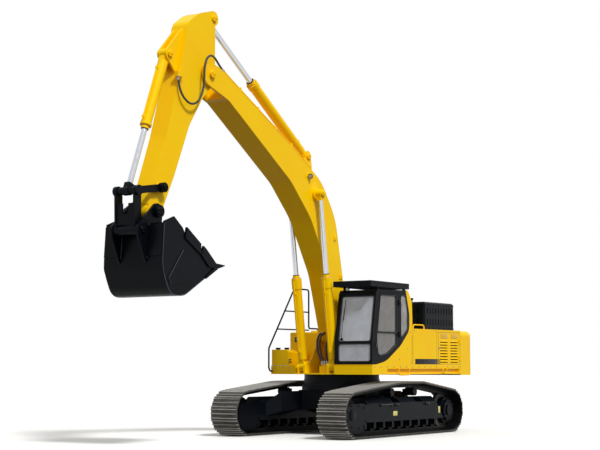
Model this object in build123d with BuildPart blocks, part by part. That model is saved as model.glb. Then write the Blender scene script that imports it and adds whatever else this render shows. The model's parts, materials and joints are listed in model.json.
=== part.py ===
from build123d import *
import os
from math import acos, atan2, cos, pi, radians, sin, sqrt, tan

# Crawler excavator of the 48 tonne class, all sizes in millimetres.
# +X points forwards along the boom, +Y to the cab side, +Z up; the origin lies on the ground
# under the slewing axis.

os.makedirs("parts", exist_ok=True)

# Driving sizes of the undercarriage
gauge = 2740
shoe_width = 700
shoe_pitch = 216
idler_x = 2150
sprocket_x = -2125
carrier_x = (300, -720)
link_tread = 360
carrier_tread = 95
carrier_z = 945
rail_to_pin = 60
pin_to_shoe = 25
shoe_plate = 23
grouser = 32
rail_inner = 50
rail_outer = 115
ring_radius = 860
ring_bottom = 1100
ring_split = 1212

# Driving sizes of the upper structure
deck_bottom = 1330
deck_top = 1525
deck_plate = 30
deck_rim = 35
half_width = 1490
deck_front_left = 1157
deck_front_right = 650
deck_front_middle = 1080
cab_right = 540
tail_radius = 3880
counterweight_front = -2950
counterweight_bottom = 1300
house_top = 2350
house_front_left = -640
house_front_right = -1010
sheet = 40
hood_rear = -3110
hood_front = -1600
hood_half = 1250
web_inner = 290.3
web_thick = 40
side_rim = 95

# Pins of the digging front, as x and z at rest
boom_foot = (300, 2250)
arm_pin = (5283, 7261)
bucket_pin = (6994, 4371)
boom_cylinder_foot = (970, 1500)
boom_cylinder_head = (1520, 5260)
arm_cylinder_foot = (1550, 6100)
arm_cylinder_head = (5120, 8430)
bucket_cylinder_foot = (6400, 7490)
idler_link_pin = (6790, 4840)
rod_pin = (7450, 4730)
bucket_link_pin = (7430, 4000)

# Widths of the digging front
boom_half = 275
arm_half = 200
bucket_half = 700
link_inner = 205
link_outer = 245
idler_inner = 246
idler_outer = 290
pin_radius = 55
link_pin_radius = 45
pin_boss = 115
eye_width = 130
pin_gap = 0.1
seat = 0.3
run = 6
hose_share = 0.45


def upright(y):
    """Upright plane that faces right, at the distance y left of the middle; x runs forwards, the other way up."""
    return Plane.XZ.offset(-y)


def cross_plane(start, end, along, y=0):
    """Plane square to the line from start to end, so far along it, at the distance y left of the middle."""
    dx, dz = end[0] - start[0], end[1] - start[1]
    span = sqrt(dx * dx + dz * dz)
    ux, uz = dx / span, dz / span
    return Plane(origin=(start[0] + ux * along, y, start[1] + uz * along), x_dir=(0, 1, 0), z_dir=(ux, 0, uz))


def between(start, end):
    """Distance between two pins."""
    return sqrt((end[0] - start[0]) ** 2 + (end[1] - start[1]) ** 2)


def polygon(points, mode=Mode.ADD):
    """Closed outline of straight sides in the sketch in hand."""
    Polygon(*points, align=None, mode=mode)


def rounded(points, radii, mode=Mode.ADD):
    """Closed outline of straight sides in the sketch in hand, with one corner radius for each point."""
    with BuildLine() as outline:
        FilletPolyline(*points, radius=radii, close=True)
    make_face(outline.edges(), mode=mode)


def block(low, high, mode=Mode.ADD):
    """Box between its lowest and highest corners."""
    with Locations(tuple((a + b) / 2 for a, b in zip(low, high))):
        Box(*[b - a for a, b in zip(low, high)], mode=mode)


def link_plate(start, end, radius):
    """Link's side outline in the sketch in hand, a bar with a round end about each pin."""
    with Locations(start, end):
        Circle(radius)
    span = between(start, end)
    nx, nz = -(end[1] - start[1]) / span * radius, (end[0] - start[0]) / span * radius
    polygon(((start[0] + nx, start[1] + nz), (start[0] - nx, start[1] - nz), (end[0] - nx, end[1] - nz),
             (end[0] + nx, end[1] + nz)))


def hose(route, radius):
    """Tube in the part in hand along a hose's route: runs joined by arcs as large as each pair of runs allows."""
    points = [Vector(*point) for point in route]
    runs = [there - here for here, there in zip(points, points[1:])]
    turns = [radians(here.get_angle(there)) for here, there in zip(runs, runs[1:])]
    radii = [hose_share * min(here.length, there.length) / tan(turn / 2)
             for here, there, turn in zip(runs, runs[1:], turns)]
    with BuildLine() as line:
        FilletPolyline(*points, radius=radii)
    with BuildSketch(Plane(origin=points[0], z_dir=runs[0])) as section:
        Circle(radius)
    sweep(section.sketch, path=line.wire())
    print(f"hose of {line.wire().length:.0f} mm, radii", *[f"{value:.0f}" for value in radii])


def steel_tube(path, bends, radius):
    """Tube in the part in hand along straight runs with the given bends."""
    with BuildLine() as line:
        FilletPolyline(*path, radius=bends)
    with BuildSketch(Plane(origin=path[0], z_dir=Vector(*path[1]) - Vector(*path[0]))) as section:
        Circle(radius)
    sweep(section.sketch, path=line.wire())


# Undercarriage: the belt that the chain's pins follow
pin_line = link_tread + rail_to_pin
wheel_z = link_tread + rail_to_pin + pin_to_shoe + shoe_plate + grouser
belt_wheels = (
    (idler_x, wheel_z, pin_line),
    (carrier_x[0], carrier_z, carrier_tread + rail_to_pin),
    (carrier_x[1], carrier_z, carrier_tread + rail_to_pin),
    (sprocket_x, wheel_z, pin_line),
)


def belt_spans(wheels):
    """Arcs and straight runs of a belt round the wheels, as (length, function from distance to point)."""
    normals = []
    for here, there in zip(wheels, wheels[1:] + wheels[:1]):
        dx, dz = there[0] - here[0], there[1] - here[1]
        normals.append(atan2(dz, dx) - acos((here[2] - there[2]) / sqrt(dx * dx + dz * dz)))
    spans = []
    for index, (x, z, radius) in enumerate(wheels):
        start = normals[index - 1]
        turn = (normals[index] - start) % (2 * pi)
        spans.append((
            radius * turn,
            lambda s, x=x, z=z, r=radius, a=start: (x + r * cos(a + s / r), z + r * sin(a + s / r)),
        ))
        nx, nz, nr = wheels[(index + 1) % len(wheels)]
        c, s_ = cos(normals[index]), sin(normals[index])
        first, last = (x + radius * c, z + radius * s_), (nx + nr * c, nz + nr * s_)
        spans.append((between(first, last), lambda s, p=first, c=c, s_=s_: (p[0] - s_ * s, p[1] + c * s)))
    return spans


def belt_pins(wheels, pitch):
    """Pins evenly spaced round the belt, as near to the pitch as a whole number of shoes allows."""
    spans = belt_spans(wheels)
    total = sum(length for length, _ in spans)
    count = round(total / pitch)
    pins = []
    for index in range(count):
        distance = (index + 0.5) * total / count
        for length, point in spans:
            if distance <= length:
                pins.append(point(distance))
                break
            distance -= length
    return pins


track_pins = belt_pins(belt_wheels, shoe_pitch)


def shoe_frames():
    """Each shoe's first pin, direction and outward normal."""
    for here, there in zip(track_pins, track_pins[1:] + track_pins[:1]):
        span = between(here, there)
        ux, uz = (there[0] - here[0]) / span, (there[1] - here[1]) / span
        yield here, span, (ux, uz), (uz, -ux)


def level_outline(height):
    """Loop through every pin, moved outwards by the height."""
    frames = list(shoe_frames())
    points = []
    for (pin, _, _, after), (_, _, _, before) in zip(frames, frames[-1:] + frames[:-1]):
        nx, nz = before[0] + after[0], before[1] + after[1]
        share = height * 2 / (nx * nx + nz * nz)
        points.append((pin[0] + nx * share, pin[1] + nz * share))
    return points


# A shoe's outer side: share of the pitch from its first pin, and whether the point is on a grouser's tip
shoe_profile = (
    (0.02, 0), (0.06, 1), (0.12, 0), (0.44, 0), (0.50, 1), (0.56, 0), (0.88, 0), (0.94, 1), (0.98, 0),
)


def grouser_outline():
    """Outer outline of the whole track, shoe by shoe."""
    plate = pin_to_shoe + shoe_plate
    points = []
    for pin, span, along, out in shoe_frames():
        for share, tip in shoe_profile:
            height = plate + grouser * tip
            points.append(tuple(
                pin[k] + along[k] * span * share + out[k] * height for k in (0, 1)
            ))
    return points


# Undercarriage: tracks

for side, label in ((1, "track_left"), (-1, "track_right")):
    middle = side * gauge / 2
    with BuildPart() as track:
        with BuildSketch(upright(middle)):
            polygon(grouser_outline())
            polygon(level_outline(pin_to_shoe), mode=Mode.SUBTRACT)
        extrude(amount=shoe_width / 2, both=True)
        for hand in (-1, 1):
            rail_middle = middle + hand * (rail_inner + rail_outer) / 2
            with BuildSketch(upright(rail_middle)):
                polygon(level_outline(pin_to_shoe + shoe_plate / 2))
                polygon(level_outline(-rail_to_pin), mode=Mode.SUBTRACT)
            extrude(amount=(rail_outer - rail_inner) / 2, both=True)
    track.part.label = label
    export_step(track.part, f"parts/{label}.step")

# Undercarriage: wheels inside the tracks

chord_drop = pin_line - sqrt(pin_line**2 - (shoe_pitch / 2) ** 2)
wheel_tread = link_tread - chord_drop - 2
idler_half = rail_outer + 3
idler_flange = 20
shaft_radius = 45
cheek_inner = 140
cheek_thick = 50


def stepped_wheel(steps):
    """Stack of discs on one shaft, each of (radius, half width), centred on the sketch plane."""
    for radius, half in steps:
        Cylinder(radius=radius, height=2 * half, rotation=(90, 0, 0))



with BuildPart() as idlers:
    for side in (1, -1):
        with Locations((idler_x, side * gauge / 2, wheel_z)):
            stepped_wheel((
                (wheel_tread, idler_half), (wheel_tread + idler_flange, rail_inner - 5),
                (shaft_radius, cheek_inner),
            ))
idlers.part.label = "idlers"
export_step(idlers.part, "parts/idlers.step")

sprocket_tip = pin_line - chord_drop + pin_to_shoe - 8
sprocket_root = pin_line - 55
sprocket_teeth = 24
sprocket_half = 40
hub_radius = 300

with BuildPart() as sprockets:
    for side in (1, -1):
        with BuildSketch(upright(side * gauge / 2)):
            with Locations((sprocket_x, wheel_z)):
                Circle(sprocket_root)
                with PolarLocations(sprocket_root - 10, sprocket_teeth):
                    Trapezoid(2 * (sprocket_tip - sprocket_root) + 40, 56, 60, rotation=-90,
                              align=(Align.CENTER, Align.MIN))
                Circle(hub_radius - 40, mode=Mode.SUBTRACT)
        extrude(amount=sprocket_half, both=True)
sprockets.part.label = "sprockets"
export_step(sprockets.part, "parts/sprockets.step")

# Final drive: hub and cover outside the sprocket, motor case inside it, as (radius, from, to) outwards
motor_radius = 210
final_drive_steps = (
    (hub_radius - 40, -sprocket_half, sprocket_half), (hub_radius, sprocket_half, 150), (235, 150, 215),
    (120, 215, 245), (hub_radius, -150, -sprocket_half), (motor_radius, -330, -150),
)

with BuildPart() as final_drives:
    for side in (1, -1):
        for radius, near, far in final_drive_steps:
            with BuildSketch(upright(side * (gauge / 2 + far) if side > 0 else side * (gauge / 2 + near))):
                with Locations((sprocket_x, wheel_z)):
                    Circle(radius)
            extrude(amount=far - near)
final_drives.part.label = "final_drives"
export_step(final_drives.part, "parts/final_drives.step")

# Undercarriage: track rollers under the frame and carrier rollers over it

roller_count = 9
roller_pitch = 385
roller_radius = 110
rail_top = wheel_z - link_tread
roller_z = rail_top + roller_radius + seat
roller_places = [(index - (roller_count - 1) / 2) * roller_pitch + 20 for index in range(roller_count)]

with BuildPart() as track_rollers:
    for side in (1, -1):
        with Locations(*[(x, side * gauge / 2, roller_z) for x in roller_places]):
            stepped_wheel(((roller_radius, rail_outer + 5), (40, cheek_inner)))
track_rollers.part.label = "track_rollers"
export_step(track_rollers.part, "parts/track_rollers.step")

carrier_drop = shoe_pitch / 2 * tan(0.06)
carrier_half = rail_outer + 3
bracket_inner = carrier_half + 20

with BuildPart() as carrier_rollers:
    for side in (1, -1):
        for x in carrier_x:
            with Locations((x, side * gauge / 2, carrier_z)):
                Cylinder(radius=carrier_tread - carrier_drop, height=2 * carrier_half, rotation=(90, 0, 0))
            with Locations((x, side * (gauge / 2 - (carrier_half + bracket_inner) / 2), carrier_z)):
                Cylinder(radius=35, height=bracket_inner - carrier_half, rotation=(90, 0, 0))
carrier_rollers.part.label = "carrier_rollers"
export_step(carrier_rollers.part, "parts/carrier_rollers.step")

# Undercarriage: track frames, each a box with idler cheeks in front, roller seats below, carrier brackets on top

frame_half = 230
frame_low = 330
frame_high = 720
frame_floor = 380
frame_outline = ((-1640, frame_floor), (1700, frame_floor), (1700, frame_high - 20), (930, frame_high),
                 (-1500, frame_high), (-1640, 560))
skirt_outline = ((-1500, frame_low), (1600, frame_low), (1600, frame_floor + 20), (-1500, frame_floor + 20))
cheek_outline = ((1560, frame_low), (1760, 120), (2190, 120), (2330, 450), (2180, 700), (1560, 700))
cover_outline = ((1640, 300), (1740, 190), (2260, 190), (2390, 330), (2390, 620), (2270, 730), (1640, 730))
cover_radii = (60, 60, 90, 90, 90, 90, 60)
cover_outer = 235
rear_cheek_outline = ((-1500, frame_high), (-1850, 340), (-1850, 330), (-1500, frame_low))
drive_flange = 285
drive_arm_outline = (
    (-1500, frame_high), (sprocket_x, wheel_z + drive_flange - 5), (sprocket_x, wheel_z - drive_flange + 5),
    (-1500, frame_low),
)
roller_seat = 90
bracket_width = 120
leg_inner = gauge / 2 - frame_half

for side, label in ((1, "track_frame_left"), (-1, "track_frame_right")):
    middle = side * gauge / 2
    with BuildPart() as track_frame:
        with BuildSketch(upright(middle)):
            polygon(frame_outline)
        extrude(amount=frame_half, both=True)
        for hand in (-1, 1):
            with BuildSketch(upright(middle + hand * (cheek_inner + cheek_thick / 2 + seat))):
                polygon(cheek_outline)
            extrude(amount=cheek_thick / 2, both=True)
            with BuildSketch(upright(middle + hand * (cheek_inner + cheek_thick + cover_outer) / 2)):
                rounded(cover_outline, cover_radii)
            extrude(amount=(cover_outer - cheek_inner - cheek_thick) / 2, both=True)
            with BuildSketch(upright(middle + hand * (frame_half - cheek_thick / 2))):
                polygon(rear_cheek_outline)
                polygon(skirt_outline)
            extrude(amount=cheek_thick / 2, both=True)
            with BuildSketch(upright(middle + hand * (cheek_inner + cheek_thick / 2 + seat))):
                polygon(skirt_outline)
            extrude(amount=cheek_thick / 2, both=True)
        with BuildSketch(upright(middle - side * (frame_half - cheek_thick / 2))):
            polygon(drive_arm_outline)
            with Locations((sprocket_x, wheel_z)):
                Circle(drive_flange)
                Circle(motor_radius + seat, mode=Mode.SUBTRACT)
        extrude(amount=cheek_thick / 2, both=True)
        for hand in (-1, 1):
            roller_seat_y = middle + hand * (cheek_inner + cheek_thick / 2 + seat)
            with Locations(*[(x, roller_seat_y, roller_z + 15) for x in roller_places]):
                Box(roller_seat, cheek_thick, 2 * (frame_low - roller_z - 15) + 20, align=Align.CENTER)
        for x in carrier_x:
            bracket_y = middle - side * (bracket_inner + seat + 20)
            with Locations((x, bracket_y, (frame_high + carrier_z + 60) / 2 - 5)):
                Box(bracket_width, 40, carrier_z + 60 - frame_high + 10)
    track_frame.part.label = label
    export_step(track_frame.part, f"parts/{label}.step")

# Undercarriage: carbody with four legs and the lower half of the slewing ring

body_half_x = 800
body_half_y = 780
body_low = 560
body_high = 980
# Sections of a leg, outwards: distance from the middle, forward place, width, low and high
leg_sections = (
    (620, 470, 560, body_low + 5, body_high - 15),
    (880, 830, 600, body_low - 40, body_high - 30),
    (leg_inner, 1050, 620, frame_low + 80, frame_high - 5),
)

with BuildPart() as carbody:
    with Locations((0, 0, (body_low + body_high) / 2)):
        Box(2 * body_half_x, 2 * body_half_y, body_high - body_low)
    chamfer(carbody.edges().filter_by(Axis.Z), 220)
    with BuildSketch(Plane.XY.offset(body_high)):
        Circle(ring_radius + 40)
    extrude(amount=ring_bottom - body_high)
    for front in (1, -1):
        for side in (1, -1):
            for y, x, width, low, high in leg_sections:
                with BuildSketch(upright(side * y)):
                    with Locations((front * x, (low + high) / 2)):
                        Rectangle(width, high - low)
            loft(ruled=True)
carbody.part.label = "carbody"
export_step(carbody.part, "parts/carbody.step")

ring_wall = 180

with BuildPart() as slew_ring_lower:
    with BuildSketch(Plane.XY.offset(ring_bottom)):
        Circle(ring_radius)
        Circle(ring_radius - ring_wall, mode=Mode.SUBTRACT)
    extrude(amount=ring_split - ring_bottom)
slew_ring_lower.part.label = "slew_ring_lower"
export_step(slew_ring_lower.part, "parts/slew_ring_lower.step")

with BuildPart() as slew_ring_upper:
    with BuildSketch(Plane.XY.offset(ring_split + seat)):
        Circle(ring_radius - 15)
        Circle(ring_radius - ring_wall, mode=Mode.SUBTRACT)
    extrude(amount=deck_bottom - ring_split - seat)
slew_ring_upper.part.label = "slew_ring_upper"
export_step(slew_ring_upper.part, "parts/slew_ring_upper.step")

# Upper structure: deck with its rim and floor plate, and a recess along each side

deck_outline = (
    (counterweight_front, half_width), (deck_front_left, half_width), (deck_front_left, cab_right - 10),
    (deck_front_middle, cab_right - 10), (deck_front_middle, -cab_right + 10),
    (deck_front_right, -cab_right + 10),
    (deck_front_right, -half_width), (counterweight_front, -half_width),
)
web_outer = web_inner + web_thick
web_slot = web_outer + seat
bracket_foot = deck_bottom + deck_plate + seat
fork_inner = web_outer + eye_width + 2 * seat
fork_outer = fork_inner + 30
web_outline = ((-2900, bracket_foot), (-2900, 1700), (-900, 1760), (-140, 2330), (250, 2470), (480, 2350),
               (520, 2100), (800, 1640), (1080, 1560), (deck_front_middle, bracket_foot))
web_radii = (1, 60, 500, 200, 150, 80, 200, 120, 40, 1)
fork_outline = ((700, bracket_foot), (deck_front_middle, bracket_foot), (1100, 1500), (970, 1640), (840, 1500))
fork_radii = (1, 1, 60, 110, 60)
pocket_rear = counterweight_front + deck_rim
pocket_left = (pocket_rear, cab_right + 60, deck_front_left - deck_rim, half_width - side_rim)
pocket_right = (pocket_rear, -half_width + side_rim, deck_front_right - deck_rim, -cab_right - 60)
channel = (pocket_rear, -web_slot, deck_front_middle + 1, web_slot)
eye_bay_left = (700, web_slot - 1, deck_front_middle + 1, cab_right - 11)
eye_bay_right = (700, -cab_right + 11, deck_front_middle + 1, 1 - web_slot)
slew_hole = 420
recess_rear = counterweight_front + 60
recess_front = 520
recess_low = deck_bottom + 20
recess_high = 1450
recess_depth = 60


def pocket(corners):
    """Pocket in the deck above its floor plate, given as low x, low y, high x, high y."""
    x0, y0, x1, y1 = corners
    block((x0, y0, deck_bottom + deck_plate), (x1, y1, deck_top + 1), mode=Mode.SUBTRACT)


with BuildPart() as deck:
    with BuildSketch(Plane.XY.offset(deck_bottom)):
        polygon(deck_outline)
    extrude(amount=deck_top - deck_bottom)
    for corners in (pocket_left, pocket_right, channel, eye_bay_left, eye_bay_right):
        pocket(corners)
    with BuildSketch(Plane.XY.offset(deck_bottom)):
        Circle(slew_hole)
    extrude(amount=deck_plate, mode=Mode.SUBTRACT)
    for side in (1, -1):
        near, far = sorted((side * (half_width - recess_depth), side * (half_width + 1)))
        block((recess_rear, near, recess_low), (recess_front, far, recess_high), mode=Mode.SUBTRACT)
deck.part.label = "deck"
export_step(deck.part, "parts/deck.step")

# Upper structure: two upright brackets on the deck that carry the boom's foot and its cylinders
with BuildPart() as boom_brackets:
    for side in (1, -1):
        with BuildSketch(upright(side * (web_inner + web_thick / 2))):
            rounded(web_outline, web_radii)
        extrude(amount=web_thick / 2, both=True)
        with BuildSketch(upright(side * (fork_inner + fork_outer) / 2)):
            rounded(fork_outline, fork_radii)
        extrude(amount=(fork_outer - fork_inner) / 2, both=True)
        with Locations((boom_cylinder_foot[0], side * (web_inner + fork_outer) / 2, boom_cylinder_foot[1])):
            Cylinder(radius=pin_radius - 5, height=fork_outer - web_inner, rotation=(90, 0, 0))
    with Locations((boom_foot[0], 0, boom_foot[1])):
        Cylinder(radius=pin_radius + 5, height=2 * web_outer + 60, rotation=(90, 0, 0))
boom_brackets.part.label = "boom_brackets"
export_step(boom_brackets.part, "parts/boom_brackets.step")

# Upper structure: counterweight, an arc about the slewing axis behind a flat front, its top stepped down
# under the hood's rear

counterweight_corner = 260
counterweight_top_edge = 130
hood_step = 6
hood_step_rear = hood_rear - 50

with BuildPart() as counterweight:
    with BuildSketch(Plane.XY.offset(counterweight_bottom)):
        with Locations((counterweight_front - 1000, 0)):
            Rectangle(2000, 2 * half_width)
        Circle(tail_radius, mode=Mode.INTERSECT)
    extrude(amount=house_top - counterweight_bottom)
    fillet(counterweight.edges().filter_by(Axis.Z).group_by(Axis.X)[0], counterweight_corner)
    fillet(counterweight.faces().sort_by(Axis.Z)[-1].edges().group_by(Axis.X)[0], counterweight_top_edge)
    block((hood_step_rear, -hood_half - 30, house_top - hood_step),
          (counterweight_front + 1, hood_half + 30, house_top + 1), mode=Mode.SUBTRACT)
counterweight.part.label = "counterweight"
export_step(counterweight.part, "parts/counterweight.step")

# Upper structure: engine house, a hollow shell open below, at its doors and under its hood

hood_top = 3000
hood_lip = 60
door_rear = -2880
door_front = -1840
door_low = 1560
door_high = 2290
knuckle = 14
knuckle_length = 60
hinge_heights = (1720, 2100)
house_outline = (
    (counterweight_front, half_width), (house_front_left, half_width), (house_front_left, cab_right + 20),
    (house_front_right, cab_right + 20), (house_front_right, -half_width), (counterweight_front, -half_width),
)


def knuckles(x, y, heights, upper):
    """Hinge knuckles on one upright axis: the upper of each pair turns, the lower is the frame's."""
    for z in heights:
        low = z + seat if upper else z - knuckle_length
        with Locations((x, y, low + knuckle_length / 2)):
            Cylinder(radius=knuckle, height=knuckle_length)


with BuildPart() as engine_house:
    with BuildSketch(Plane.XY.offset(deck_top)):
        polygon(house_outline)
    extrude(amount=house_top - deck_top)
    with BuildSketch(Plane.XY.offset(deck_top)):
        polygon(house_outline)
        offset(amount=-sheet, kind=Kind.INTERSECTION, mode=Mode.REPLACE)
    extrude(amount=house_top - deck_top - sheet, mode=Mode.SUBTRACT)
    block((counterweight_front + sheet + hood_lip, -hood_half + hood_lip, house_top - sheet - 1),
          (hood_front - hood_lip, hood_half - hood_lip, house_top + 1), mode=Mode.SUBTRACT)
    for side in (1, -1):
        near, far = sorted((side * (web_inner - run), side * (web_outer + run)))
        block((house_front_right - sheet - 1, near, deck_top - 1), (house_front_right + 1, far, 1830),
              mode=Mode.SUBTRACT)
        near, far = sorted((side * (half_width - sheet - 1), side * (half_width + 1)))
        block((door_rear - run, near, door_low - run), (door_front + run, far, door_high + run),
              mode=Mode.SUBTRACT)
        knuckles(door_rear, side * (half_width + knuckle), hinge_heights, upper=False)
        near, far = sorted((side * (half_width - 10), side * (half_width + knuckle)))
        for z in hinge_heights:
            block((door_rear - 40, near, z - knuckle_length), (door_rear - run, far, z))
engine_house.part.label = "engine_house"
export_step(engine_house.part, "parts/engine_house.step")

# Service doors with two columns of louvres, hinged at their rear edges
louvre_columns = ((-2820, -2440), (-2310, -1920))
louvre_rows = 8
louvre_low = 1590
louvre_pitch = 66
louvre_height = 30

for side, label in ((1, "radiator_door"), (-1, "pump_door")):
    near, far = sorted((side * (half_width - sheet), side * half_width))
    with BuildPart() as service_door:
        block((door_rear, near, door_low), (door_front, far, door_high))
        for x0, x1 in louvre_columns:
            for row in range(louvre_rows):
                z = louvre_low + row * louvre_pitch
                block((x0, near - 1, z), (x1, far + 1, z + louvre_height), mode=Mode.SUBTRACT)
        knuckles(door_rear, side * (half_width + knuckle), hinge_heights, upper=True)
        near, far = sorted((side * (half_width - 10), side * (half_width + knuckle)))
        for z in hinge_heights:
            block((door_rear, near, z + seat), (door_rear + 40, far, z + seat + knuckle_length))
    service_door.part.label = label
    export_step(service_door.part, f"parts/{label}.step")

# Raised hood over the engine, open below, with rows of upright slots
hood_seat = house_top + seat
slot_rows = ((2460, 2600), (2730, 2870))
side_slots = [hood_rear + 110 + 135 * index for index in range(10)]
front_slots = [-1080 + 240 * index for index in range(10)]
hood_hinge_y = (-900, 900)
hood_hinge_x = hood_rear - 18

with BuildPart() as engine_hood:
    block((hood_rear, -hood_half, hood_seat), (hood_front, hood_half, hood_top))
    fillet(engine_hood.edges().filter_by(Axis.Z), 70)
    chamfer(engine_hood.faces().sort_by(Axis.Z)[-1].edges(), 35)
    block((hood_rear + sheet, -hood_half + sheet, hood_seat - 1),
          (hood_front - sheet, hood_half - sheet, hood_top - sheet), mode=Mode.SUBTRACT)
    for low, high in slot_rows:
        for x in side_slots:
            block((x, -hood_half - 1, low), (x + 35, hood_half + 1, high), mode=Mode.SUBTRACT)
        for y in front_slots:
            block((hood_rear - 1, y - 17, low), (hood_front + 1, y + 17, high), mode=Mode.SUBTRACT)
    for y in hood_hinge_y:
        with Locations((hood_hinge_x, y, hood_seat + knuckle)):
            Cylinder(radius=knuckle, height=knuckle_length, rotation=(90, 0, 0))
        block((hood_hinge_x, y - knuckle_length / 2, hood_seat + 4),
              (hood_rear + 10, y + knuckle_length / 2, hood_seat + 24))
engine_hood.part.label = "engine_hood"
export_step(engine_hood.part, "parts/engine_hood.step")

# Heavy masses inside the house
engine_rear = counterweight_front + 350
engine_front = hood_front - 200

with BuildPart() as engine_block:
    block((engine_rear, -750, 1770), (engine_front, 650, 2420))
    chamfer(engine_block.edges().filter_by(Axis.Y), 80)
    for side in (1, -1):
        near, far = sorted((side * (web_outer + 15), side * 500))
        block((engine_rear + 100, near, deck_top), (engine_front - 100, far, 1800))
engine_block.part.label = "engine_block"
export_step(engine_block.part, "parts/engine_block.step")

with BuildPart() as radiator:
    block((counterweight_front + 100, half_width - 370, deck_bottom + deck_plate),
          (door_front - 40, half_width - 160, house_top - 70))
radiator.part.label = "radiator"
export_step(radiator.part, "parts/radiator.step")

# Fuel tank, valve bank and the storage box in front of the tank

tank_front = 0
tank_top = 2290
tank_edge = 100
box_top = 1885
tank_side = -half_width + 40

with BuildPart() as fuel_tank:
    block((house_front_right + 10, tank_side, deck_top), (tank_front, -cab_right - 20, tank_top))
    fillet(fuel_tank.edges().filter_by(Axis.Z), tank_edge)
    fillet(fuel_tank.faces().sort_by(Axis.Z)[-1].edges(), tank_edge / 3)
fuel_tank.part.label = "fuel_tank"
export_step(fuel_tank.part, "parts/fuel_tank.step")

box_inner = -half_width + 500
box_outline = ((tank_front + 5, -half_width), (deck_front_right, -half_width), (deck_front_right, box_inner),
               (tank_front + 5, box_inner + 90))
cap_radius = 58
cap_height = 45
cap_places = ((deck_front_right - 150, -half_width + 90), (deck_front_right - 150, -half_width + 330))

with BuildPart() as storage_box:
    with BuildSketch(Plane.XY.offset(deck_top)):
        rounded(box_outline, (20, 40, 60, 20))
    extrude(amount=box_top - deck_top)
    with BuildSketch(Plane(origin=(0, box_inner, box_top - 55), x_dir=(1, 0, 0), z_dir=(0, 0.5, 0.866))):
        Rectangle(3000, 600)
    extrude(amount=400, mode=Mode.SUBTRACT)
storage_box.part.label = "storage_box"
export_step(storage_box.part, "parts/storage_box.step")

# Two filler caps on the storage box, each a ribbed cap on a collar
with BuildPart() as filler_caps:
    for x, y in cap_places:
        with BuildSketch(Plane.XY.offset(box_top + seat)):
            with Locations((x, y)):
                Circle(cap_radius - 12)
        extrude(amount=cap_height)
        with BuildSketch(Plane.XY.offset(box_top + seat + cap_height - 30)):
            with Locations((x, y)):
                Circle(cap_radius)
                with PolarLocations(cap_radius, 8):
                    Circle(6, mode=Mode.SUBTRACT)
        extrude(amount=30)
filler_caps.part.label = "filler_caps"
export_step(filler_caps.part, "parts/filler_caps.step")

with BuildPart() as valve_bank:
    block((-960, -web_inner + 30, deck_bottom + deck_plate), (-300, web_inner - 30, 1980))
    chamfer(valve_bank.faces().sort_by(Axis.Z)[-1].edges(), 60)
valve_bank.part.label = "valve_bank"
export_step(valve_bank.part, "parts/valve_bank.step")

# Handrail up the right side, one bent tube with two rungs

rail_radius = 19
rail_y = -half_width + 22
rail_front = deck_front_right + 125
rail_top = 3318
rail_rear = -880
rail_low = house_top + 50
rail_end = rail_rear - 400
rail_path = (
    (deck_front_right + seat, rail_y, 1400), (deck_front_right + 70, rail_y, 1400), (rail_front, rail_y, 1470),
    (rail_front, rail_y, 1920), (-265, rail_y, rail_top), (rail_rear, rail_y, rail_top),
    (rail_rear, rail_y, rail_low), (rail_end, rail_y, rail_low), (rail_end, rail_y, house_top + seat),
)
rail_bends = (40, 40, 120, 90, 70, 60, 36)
rungs = (2360, 2785)

with BuildPart() as handrail:
    steel_tube(rail_path, rail_bends, rail_radius)
    for z in rungs:
        lean = (z - rail_path[3][2]) / (rail_top - rail_path[3][2])
        x = rail_front + (rail_path[4][0] - rail_front) * lean
        with Locations(((x + rail_rear) / 2, rail_y, z)):
            Cylinder(radius=rail_radius - 3, height=x - rail_rear, rotation=(0, 90, 0))
handrail.part.label = "handrail"
export_step(handrail.part, "parts/handrail.step")

# Yellow bent tubes: two steps hung on the left side and a grab rail on the house, as rear, front, low, high
step_stand = 30
step_tube = 12
step_loops = ((-408, 63, 1317, 1468), (-2178, -1989, 1345, 1468))
grab_rail = (-1500, -990, 1300, house_top + 100)

with BuildPart() as grab_rails:
    for rear, front, low, high in step_loops:
        wall, out = half_width + seat, half_width + step_stand
        path = ((rear, wall, high), (rear, out, high), (rear, out, low), (front, out, low), (front, out, high),
                (front, wall, high))
        steel_tube(path, (15, 50, 50, 15), step_tube)
    rear, front, y, high = grab_rail
    steel_tube(((rear, y, house_top + seat), (rear, y, high), (front, y, high), (front, y, house_top + seat)),
               (60, 60), step_tube + 2)
grab_rails.part.label = "grab_rails"
export_step(grab_rails.part, "parts/grab_rails.step")

# Cab: a hollow shell of the cab's side outline, parted by a curved seam into a front frame and a rear shell

cab_wall = 60
cab_floor = deck_top + seat
cab_outline = ((deck_front_left, cab_floor), (deck_front_left, 2030), (975, 3080), (915, 3160), (-420, 3200),
               (-600, 2950), (-620, 2300), (-620, cab_floor))
cab_radii = (15, 90, 50, 50, 130, 150, 150, 15)
seam_outline = (
    (1200, 1400), (1200, 1545), (1000, 1545), (560, 1620), (-60, 1950), (-470, 2300), (-480, 2680),
    (-330, 3150), (-330, 3300), (-760, 3300), (-760, 1400),
)
seam_radii = (1, 1, 120, 900, 900, 250, 600, 30, 1, 1, 1)
door_outline = (
    (1050, 1605), (1050, 2035), (887, 3040), (820, 3105), (10, 3120), (10, 2010), (420, 1760), (930, 1605),
)
door_radii = (30, 80, 60, 60, 20, 60, 500, 120)
door_window_upper = ((930, 2255), (795, 3005), (762, 3040), (90, 3052), (90, 2255))
upper_radii = (30, 40, 40, 50, 30)
door_window_lower = ((945, 2225), (955, 2060), (905, 1790), (820, 1735), (480, 1790), (90, 1990), (90, 2225))
lower_radii = (30, 100, 60, 60, 300, 60, 30)
quarter_window = ((-95, 3070), (-335, 3075), (-415, 2680), (-410, 2330), (-95, 2110))
quarter_radii = (40, 60, 200, 60, 60)
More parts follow.
